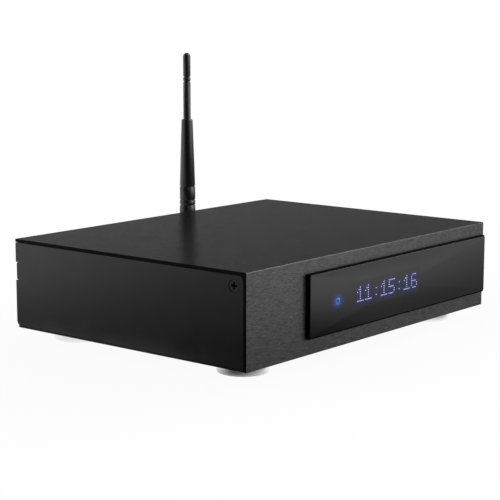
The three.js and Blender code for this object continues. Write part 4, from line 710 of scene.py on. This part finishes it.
class PLAYER_OT_display(bpy.types.Operator):
    """Builds the polished display block, its clock and its stand-by ring."""

    bl_idname = "player.display"
    bl_label = "Display"
    PLATE_BACK = 0.00008  # behind the block's front, which leaves room for the dots
    CORNER_RADIUS = 0.001
    END_SHARPNESS = 40  # how closely the end rounding keeps to the right end
    CLOCK_HEIGHT = 30.3  # millimetres on the casing, as for the ring
    RING_PLACE = (82.3, 0, 29.3)
    RING_RADIUS = 0.0017
    RING_HALF_WIDTH = 0.00045
    PROUD = 0.00007  # of the ring and of each dot
    DOT_SIDES = 8
    DOT_FACE = 0.86  # width of a dot's front over that of its back
    FILM_STEP = 0.0005
    FILM_LAYERS = (-0.00002, 0.00004)

    def execute(self, context):
        settings = context.scene.player_display
        low, high, _ = box_of("display_block")
        front = low[1] + self.PLATE_BACK
        joint = front + settings.plate_depth
        ring_middle = on_casing(*self.RING_PLACE)
        ring_middle[1] = front
        margin = settings.surround
        # The lower margin shows the black body as partly painted shade for the shadow gap under the plate.
        window = (low + (margin, 0, settings.lower_surround_and_shade), high - (margin, 0, margin))
        plate, dull = polished_black(settings, ring_middle), matte_black()
        for name, material, corners, ends, edge in (
            ("display_window", plate, window, (front, joint), 0.0001),
            ("display_body", dull, (low, high), (joint, high[1]), 0.0002),
        ):
            block = self.add_block(name, material, corners, ends, edge, settings.end_round)
            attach(block, "casing")
            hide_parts("display_block")
        self.add_clock(settings, front)
        self.add_ring(settings, ring_middle)
        return {"FINISHED"}

    def add_block(self, name, material, corners, ends, edge, end_round):
        """A slab between two depths: row k is the display's outline drawn in by inset(k), at depth(k).

        The insets are quarter circles, edge (1 - sin a) at the front and edge (1 - cos a) at the back. The
        right side also steps in by the end rounding r, as r - sqrt(r^2 - (r - d)^2) at a depth d below r.
        """
        low, high = corners
        size, middle = high - low, (low + high) / 2
        turn = np.linspace(0, np.pi / 2, 7)
        from_start, from_end = edge * (1 - np.cos(turn)), edge * (1 - np.sin(turn))
        walls = np.linspace(ends[0] + edge, ends[1] - edge, 9)[1:-1]
        depth = np.concatenate([ends[0] + from_start, walls, ends[1] - from_end])
        inset = np.concatenate([from_end, np.zeros(len(walls)), from_start])
        grid = slab_grid(rounded_rectangle(size[0], size[2], self.CORNER_RADIUS), inset, depth)
        below = np.clip(end_round - (depth - low[1]), 0, end_round)
        lost = end_round - np.sqrt(end_round**2 - below**2)
        share = np.clip(grid[..., 0] / (size[0] / 2), 0, 1) ** self.END_SHARPNESS
        grid[..., 0] -= share * lost[:, None]
        return add_closed(name, grid[..., [0, 2, 1]] + middle * (1, 0, 1), material)

    def add_clock(self, settings, front):
        """Each lit dot is a low eight-sided plate, set out on the pattern of its figure.

        Its corners are middle + size / 2 (cos a, sin a), with a = (k + 1/2) / 8 turn, closer in at its front.
        """
        patterns = [[list(line) for line in DOT_PATTERNS[sign].split()] for sign in settings.clock_text]
        which, row, column = np.nonzero(np.array(patterns) == "1")
        x = settings.clock_start + settings.figure_pitch * which + settings.dot_pitch * (column - 2)
        z = on_casing(0, 0, self.CLOCK_HEIGHT)[2] + settings.dot_pitch * (3 - row)
        centres = np.stack([CASING_CORNER[0] + x, np.full(len(x), front), z], axis=1)
        half, sides = settings.dot_size / 2, self.DOT_SIDES
        profile = [(half, 0), (half * self.DOT_FACE, self.PROUD)]
        first_corner = (np.cos(np.pi / sides), 0, np.sin(np.pi / sides))
        plate = turned_grid(profile, 0, (0, -1, 0), first_corner, sides)
        ring = np.arange(sides)
        start = 2 * sides * np.arange(len(x))[:, None]
        faces = (start[..., None] + wall_faces(2, sides, 1)).reshape(-1, 4).tolist()
        faces += (start + sides + ring).tolist() + (start + ring[::-1]).tolist()
        dots = add_object("clock_dots", centres[:, None, None] + plate, faces, clock_light(settings))
        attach(dots, "casing")
        self.add_glow(settings, centres)

    def add_glow(self, settings, dots):
        """A film behind the dots that glows by them: glow = e^(-d / reach) less its value at the film's edge.

        d is the distance to the nearest dot. The film is a grid of front and back points, closed at its rim.
        """
        low, high = dots.min(0) - settings.glow_margin, dots.max(0) + settings.glow_margin
        across, up = (np.arange(low[axis], high[axis], self.FILM_STEP) for axis in (0, 2))
        x, z = np.meshgrid(across, up, indexing="ij")
        gap = np.hypot(x[..., None] - dots[:, 0], z[..., None] - dots[:, 2]).min(-1)
        glow = np.exp(-gap / settings.glow_reach) - np.exp(-settings.glow_margin / settings.glow_reach)
        layers = np.array(self.FILM_LAYERS) + dots[0, 1]
        points = np.stack([np.stack([x, np.full(x.shape, depth), z], axis=-1) for depth in layers])
        count = x.size
        index = np.arange(count).reshape(x.shape)
        corners = [index[:-1, :-1], index[1:, :-1], index[1:, 1:], index[:-1, 1:]]
        quads = np.stack(corners, axis=-1).reshape(-1, 4)
        rim = np.concatenate([index[:-1, 0], index[-1, :-1], index[:0:-1, -1], index[0, :0:-1]])
        following = np.roll(rim, -1)
        walls = np.stack([rim, rim + count, following + count, following], axis=1)
        faces = quads.tolist() + (quads[:, ::-1] + count).tolist() + walls.tolist()
        film = add_object("clock_glow", points, faces, glowing_film(settings))
        set_values(film, "glow", np.tile(np.clip(glow, 0, 1).ravel(), 2))
        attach(film, "casing")

    def add_ring(self, settings, centre):
        """A flat torus: radius(t) = 1.7 mm + 0.45 mm cos t and height(t) = 0.07 mm sin t, turned about Y."""
        t = np.linspace(0, 2 * np.pi, 16, endpoint=False)
        radius = self.RING_RADIUS + self.RING_HALF_WIDTH * np.cos(t)
        profile = np.stack([radius, self.PROUD * np.sin(t)], axis=1)
        grid = turned_grid(profile, centre, (0, -1, 0), (1, 0, 0), 48)
        faces = wall_faces(*grid.shape[:2], len(grid)).tolist()
        ring = add_object("standby_ring", grid, faces, ring_light(settings, centre))
        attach(ring, "casing")


class PLAYER_OT_feet(bpy.types.Operator):
    """Turns the four bright feet and their rubber pads."""

    bl_idname = "player.feet"
    bl_label = "Feet"
    # Radii and heights: the bore, the seat of the screw's head and the pad's seat.
    INSIDE = ((0.0023, 0.004), (0.0038, 0.004), (0.0038, 0.0016), (0.0128, 0.0015), (0.0128, 0))
    RIM = 0.0005
    PAD_MIDDLE = 0.001

    def execute(self, context):
        metal = turned_aluminium(context.scene.player_finish)
        bore, rim = self.INSIDE[0][0], self.RIM
        for corner in CORNERS:
            centre, wide, tall = disc_of("foot_" + corner)
            outside = ((wide - 0.0002, 0), (wide, tall - rim), (wide - rim, tall), (bore, tall))
            profile = eased([*self.INSIDE, *outside], 0.002, 9)
            foot = add_turned("turned_foot_" + corner, profile, centre, metal, 128)
            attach(foot, "casing")
            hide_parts("foot_" + corner)
            self.add_pad(corner)
        return {"FINISHED"}

    def add_pad(self, corner):
        """A flat disc with an eased rim."""
        centre, wide, tall = disc_of("foot_pad_" + corner)
        profile = eased([(self.PAD_MIDDLE, 0), (wide, 0), (wide, tall), (self.PAD_MIDDLE, tall)], 0.0003)
        pad = add_turned("rubber_pad_" + corner, profile, centre, MADE_FINISHES["foot_rubber"], 64)
        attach(pad, "casing")
        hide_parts("foot_pad_" + corner)


class PLAYER_OT_antenna(bpy.types.Operator):
    """Turns the antenna's sleeve, with the tongue that its hinge holds, and its rod."""

    bl_idname = "player.antenna"
    bl_label = "Antenna"
    HINGE = (184, 209, 36)  # millimetres on the casing
    # Radii, and heights above the hinge.
    SLEEVE_FOOT = ((0.002, 0.0072), (0.00605, 0.0072), (0.00625, 0.0076))
    SLEEVE_GROOVES = ((0.00575, 0.0233), (0.00575, 0.0271), (0.0057, 0.0371))
    SLEEVE_MOUTH = ((0.0041, 0.0859), (0.0037, 0.0864), (0.0032, 0.0864), (0.003, 0.0855), (0.003, 0.0826))
    ROD_RADIUS = 0.0027
    ROD_FOOT = 0.083
    ROD_GROOVES = (0.114, 0.1174)
    TIP = 0.1348
    TONGUE_RADIUS = 0.0043
    TONGUE_HEIGHT = 0.0074

    def execute(self, context):
        black = MADE_FINISHES["satin_black"]
        hinge = on_casing(*self.HINGE)
        rings = [self.grooved(*groove) for groove in self.SLEEVE_GROOVES]
        sleeve = np.concatenate([self.SLEEVE_FOOT, *rings, self.SLEEVE_MOUTH])
        radius = self.ROD_RADIUS
        turn = np.linspace(0, np.pi / 2, 12)[:-1]
        dome = (0, self.TIP - radius) + radius * np.stack([np.cos(turn), np.sin(turn)], axis=1)
        rings = [self.grooved(radius, height) for height in self.ROD_GROOVES]
        rod = np.concatenate([[(radius, self.ROD_FOOT)], *rings, dome])
        turned = (("sleeve_grip", sleeve, "antenna_sleeve"), ("antenna_whip", rod, "antenna_rod"))
        for name, profile, node in turned:
            piece = add_turned(name, profile, hinge, black, 64)
            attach(piece, "antenna")
            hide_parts(node)
        self.add_tongue(hinge, black)
        return {"FINISHED"}

    @staticmethod
    def grooved(radius, height):
        """A groove 1 mm wide and 0.5 mm deep in the profile, with eased lips."""
        depth = np.array([0, 0.06, 0.42, 0.5, 0.5, 0.42, 0.06, 0]) / 1000
        along = np.array([-0.6, -0.45, -0.34, -0.2, 0.2, 0.34, 0.45, 0.6]) / 1000
        return np.stack([radius - depth, height + along], axis=1)

    def add_tongue(self, hinge, material):
        """An upright plate across X, drawn in by 0.3 mm at both ends.

        Its outline is 4.3 mm (cos t, sin t) in the lower half, and straight above that.
        """
        turn = np.linspace(np.pi, 2 * np.pi, 33)
        wide, tall = self.TONGUE_RADIUS, self.TONGUE_HEIGHT
        foot = wide * np.stack([np.cos(turn), np.sin(turn)], axis=1)
        outline = np.concatenate([foot, [(wide, tall), (-wide, tall)]])
        across = np.array([-2.5, -2.4, -2.2, 2.2, 2.4, 2.5]) / 1000
        inset = np.array([0.3, 0.1, 0, 0, 0.1, 0.3]) / 1000
        grid = slab_grid(outline, inset, across)
        tongue = add_closed("sleeve_tongue", hinge + grid[..., [2, 0, 1]], material)
        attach(tongue, "antenna")
        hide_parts("antenna_sleeve")


class PLAYER_OT_screws(bpy.types.Operator):
    """Turns the countersunk screws of both sides, with their tapering cross recesses."""

    bl_idname = "player.screws"
    bl_label = "Side screws"
    # Node, the body that it rides on, and which way it is driven along X.
    PLACES = (
        ("tray_screw", "tray_screw", 1),
        ("right_panel_screw_front", "casing", -1),
        ("right_panel_screw_rear", "casing", -1),
    )
    FACE_RADIUS = 0.0033
    # Radii and depths behind the face: the head's edge, its cone and the shank.
    SIDE = ((0.0036, 0.0), (0.0036, 0.0004), (0.0015, 0.0019), (0.0015, 0.0087), (0.0008, 0.0087))
    CROSS_LENGTH = 0.0046
    CROSS_WIDTH = 0.0014
    CROSS_DEPTH = 0.0011
    CROSS_TAPER = 0.0002

    def execute(self, context):
        steel = screw_steel()
        face = np.stack([np.linspace(0.00008, self.FACE_RADIUS, 28), np.zeros(28)], axis=1)
        profile = np.concatenate([face, eased([(self.FACE_RADIUS, 0.0), *self.SIDE], 0.0002)])
        for node, rides_on, inward in self.PLACES:
            low, high, centre = box_of(node)
            centre[0] = low[0] if inward > 0 else high[0]
            along = np.array([inward, 0, 0])
            grid = turned_grid(profile, centre, along, (0, 1, 0), 144)
            sunk = np.zeros(grid.shape[:2])
            sunk[: len(face)] = self.recess(grid[: len(face)] - centre)
            grid += self.CROSS_DEPTH * sunk[..., None] * along
            screw = add_closed("turned_" + node, grid, steel, 30)
            # sunk also sets the painted shade in the recess, in screw_steel.
            set_values(screw, "sunk", closed_points(sunk))
            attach(screw, rides_on)
            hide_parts(node)
        return {"FINISHED"}

    def recess(self, away):
        """Share of the cross's depth: s^2 (3 - 2 s), with s kept from 0 to 1.

        s is d over 0.2 mm, and d is how far a point lies inside the nearer arm.
        """
        y, z = np.abs(away[..., 1]), np.abs(away[..., 2])
        length, width = self.CROSS_LENGTH / 2, self.CROSS_WIDTH / 2
        arms = [np.minimum(length - long, width - wide) for long, wide in ((y, z), (z, y))]
        share = np.clip(np.maximum(*arms) / self.CROSS_TAPER, 0, 1)
        return share**2 * (3 - 2 * share)


class PLAYER_OT_stage(bpy.types.Operator):
    """Sets the floor, the even light, the lamps and the camera."""

    bl_idname = "player.stage"
    bl_label = "Stage"
    # Directions in which the reflected floor or sky is dimmer or brighter.
    DIM_WAY = (-0.77, -0.63, 0)
    DIM_SKY = (-0.93, -0.37, 0)
    LIT_WAY = (0.64, -0.77, 0)
    FAR_WAY = (0.94, 0.34, 0)
    LEFT_SHARE = 0.35  # the dim floor reaches further to the left
    SKIRT_CORNER = (-22, 8, 0)  # millimetres on the casing, as for the viewpoint
    LAMPS = (
        ("key", (1.0, -1.5, 0.5), 1.0),
        ("side", (-1.0, -1.7, 1.0), 0.7),
        ("fill", (-1.1, 1.3, 0.8), 0.8),
        ("edge", (1.5, -0.32, 1.25), 0.7),
    )
    VIEWPOINT = (-632.1, -524.0, 206.3)
    FORWARD = (0.76114, 0.62778, -0.16296)
    RIGHT = (0.63637, -0.77138, 0.00067)

    def execute(self, context):
        settings = context.scene.player_stage
        self.add_floor(settings)
        self.add_world(settings)
        for name, place, size in self.LAMPS:
            self.add_lamp(name + "_lamp", place, size, getattr(settings, name + "_power"))
        self.add_camera(settings)
        context.scene.view_settings.view_transform = "Standard"
        return {"FINISHED"}

    def add_floor(self, settings):
        """A flat square under the feet, white where it is seen and pale where it lights the player.

        In reflections it is dimmer by the player, which keeps light from it, and on the studio's dim side.
        """
        half, ground = settings.floor_size / 2, CAD_BOX[0][2]
        corners = [(x * half, y * half, ground) for x, y in ((-1, -1), (1, -1), (1, 1), (-1, 1))]
        floor = Finish("floor_white", (0.85, 0.85, 0.85), 1.0)
        left = floor.maths("MULTIPLY", floor.maths("MINIMUM", floor.axis("X")), self.LEFT_SHARE)
        squares = [floor.maths("MULTIPLY", value, value) for value in (left, floor.axis("Y"))]
        away = floor.maths("POWER", floor.maths("ADD", *squares), 0.5)
        reach = (settings.near_inner, settings.near_outer)
        mirrored = floor.spread(away, settings.near_light, 1, *reach, "SMOOTHSTEP")
        right = floor.spread(floor.axis("X"), 1, settings.far_right, start=0.1, end=0.45, ramp="SMOOTHSTEP")
        dim = floor.towards(self.DIM_WAY, 1, settings.dim_light, start=0.2, end=0.9)
        mirrored = floor.maths("MULTIPLY", floor.maths("MULTIPLY", mirrored, dim), right)
        mirrored = floor.maths("MAXIMUM", mirrored, self.skirt(floor, settings))
        from_middle = floor.distance((0, 0, 0), (0.5, 1, 0))
        seen = floor.spread(from_middle, settings.shadow_share, 1, start=0.1, end=0.3)
        camera, mirror = floor.rays()
        pale = floor.made("ShaderNodeBsdfDiffuse", {"Color": floor.colour})
        light = floor.made("ShaderNodeEmission", {"Strength": floor.chosen(camera, mirrored, 1)})
        inputs = {"Fac": floor.chosen(camera, mirror, seen), 1: pale, 2: light}
        floor.feed(floor.output.inputs["Surface"], floor.made("ShaderNodeMixShader", inputs))
        floor.material.cycles.emission_sampling = "NONE"
        add_object("floor", corners, [[0, 1, 2, 3]], floor.material)

    def skirt(self, floor, settings):
        """The floor's light in the feet: bright close to the casing, less so at its front left corner."""
        sides = [floor.maths("ABSOLUTE", floor.axis(axis)) for axis in "XY"]
        edges = box_of("outer_shell")[1]
        outside = [floor.maths("SUBTRACT", side, edge) for side, edge in zip(sides, edges)]
        farther = floor.maths("MAXIMUM", *outside)
        close = floor.spread(farther, settings.skirt_light, 0, start=0.013, end=0.028)
        from_corner = floor.distance(on_casing(*self.SKIRT_CORNER), (1, 1, 0))
        dip = floor.spread(from_corner, settings.skirt_dip, 1, start=0.028, end=0.064)
        return floor.maths("MULTIPLY", close, dip)

    def add_world(self, settings):
        """Even light, white where it is seen, and in reflections dim on one side and bright on another."""
        world = bpy.data.worlds.new("studio")
        world.use_nodes = True
        world.cycles.sampling_method = "NONE"
        bpy.context.scene.world = world
        sky = Nodes(world.node_tree, "ShaderNodeOutputWorld", "Generated")
        overhead = sky.towards(self.DIM_SKY, settings.overhead_light, settings.dim_light, start=-0.1, end=0.8)
        for way, times, start, end in (
            (self.LIT_WAY, settings.lit_light, 0.45, 0.95),
            (self.FAR_WAY, settings.far_sky, 0.87, 1.0),
        ):
            overhead = sky.maths("MULTIPLY", overhead, sky.towards(way, 1, times, start, end))
        camera, mirror = sky.rays()
        mirrored = sky.chosen(mirror, settings.world_light, overhead)
        inputs = {"Color": (1, 1, 1), "Strength": sky.chosen(camera, mirrored, 1)}
        sky.feed(sky.output.inputs["Surface"], sky.made("ShaderNodeBackground", inputs))

    @staticmethod
    def add_lamp(name, place, size, power):
        """A square lamp that faces the player."""
        lamp = bpy.data.lights.new(name, "AREA")
        lamp.size, lamp.energy = size, power
        item = bpy.data.objects.new(name, lamp)
        item.location = place
        item.rotation_mode = "QUATERNION"
        item.rotation_quaternion = (-Vector(place)).to_track_quat("-Z", "Y")
        bpy.context.scene.collection.objects.link(item)

    def add_camera(self, settings):
        """The photograph's viewpoint, from the casing's front left, a little above it."""
        camera = bpy.data.cameras.new("camera")
        camera.lens = settings.lens
        camera.sensor_width = 36
        item = bpy.data.objects.new("camera", camera)
        forward = Vector(self.FORWARD)
        right = Vector(self.RIGHT).normalized()
        upward = right.cross(forward).normalized()
        turn = Matrix((right, upward, -forward)).transposed()
        item.matrix_world = Matrix.Translation(on_casing(*self.VIEWPOINT)) @ turn.to_4x4()
        bpy.context.scene.collection.objects.link(item)
        bpy.context.scene.camera = item


class PLAYER_PT_panel(bpy.types.Panel):
    """Lists the sizes, colours and steps in the sidebar."""

    bl_label = "Media player"
    bl_idname = "PLAYER_PT_panel"
    bl_space_type = "VIEW_3D"
    bl_region_type = "UI"
    bl_category = "Media player"

    def draw(self, context):
        for setting in GROUPS:
            group, box = getattr(context.scene, setting), self.layout.box()
            for name in group.__annotations__:
                box.prop(group, name)
        for step in STEPS:
            self.layout.operator(step.bl_idname)


STEPS = (
    PLAYER_OT_casing,
    PLAYER_OT_display,
    PLAYER_OT_feet,
    PLAYER_OT_antenna,
    PLAYER_OT_screws,
    PLAYER_OT_stage,
)
GROUPS = {"player_finish": PlayerFinish, "player_display": PlayerDisplay, "player_stage": PlayerStage}
CLASSES = (*GROUPS.values(), *STEPS, PLAYER_PT_panel)


def register():
    """Adds the classes and their settings."""
    for entry in CLASSES:
        bpy.utils.register_class(entry)
    for setting, group in GROUPS.items():
        setattr(bpy.types.Scene, setting, PointerProperty(type=group))


def unregister():
    """Takes the classes and their settings away."""
    for setting in GROUPS:
        delattr(bpy.types.Scene, setting)
    for entry in reversed(CLASSES):
        bpy.utils.unregister_class(entry)


def main():
    register()
    bpy.ops.player.casing()
    bpy.ops.player.display()
    bpy.ops.player.feet()
    bpy.ops.player.antenna()
    bpy.ops.player.screws()
    bpy.ops.player.stage()


if __name__ == "__main__":
    main()
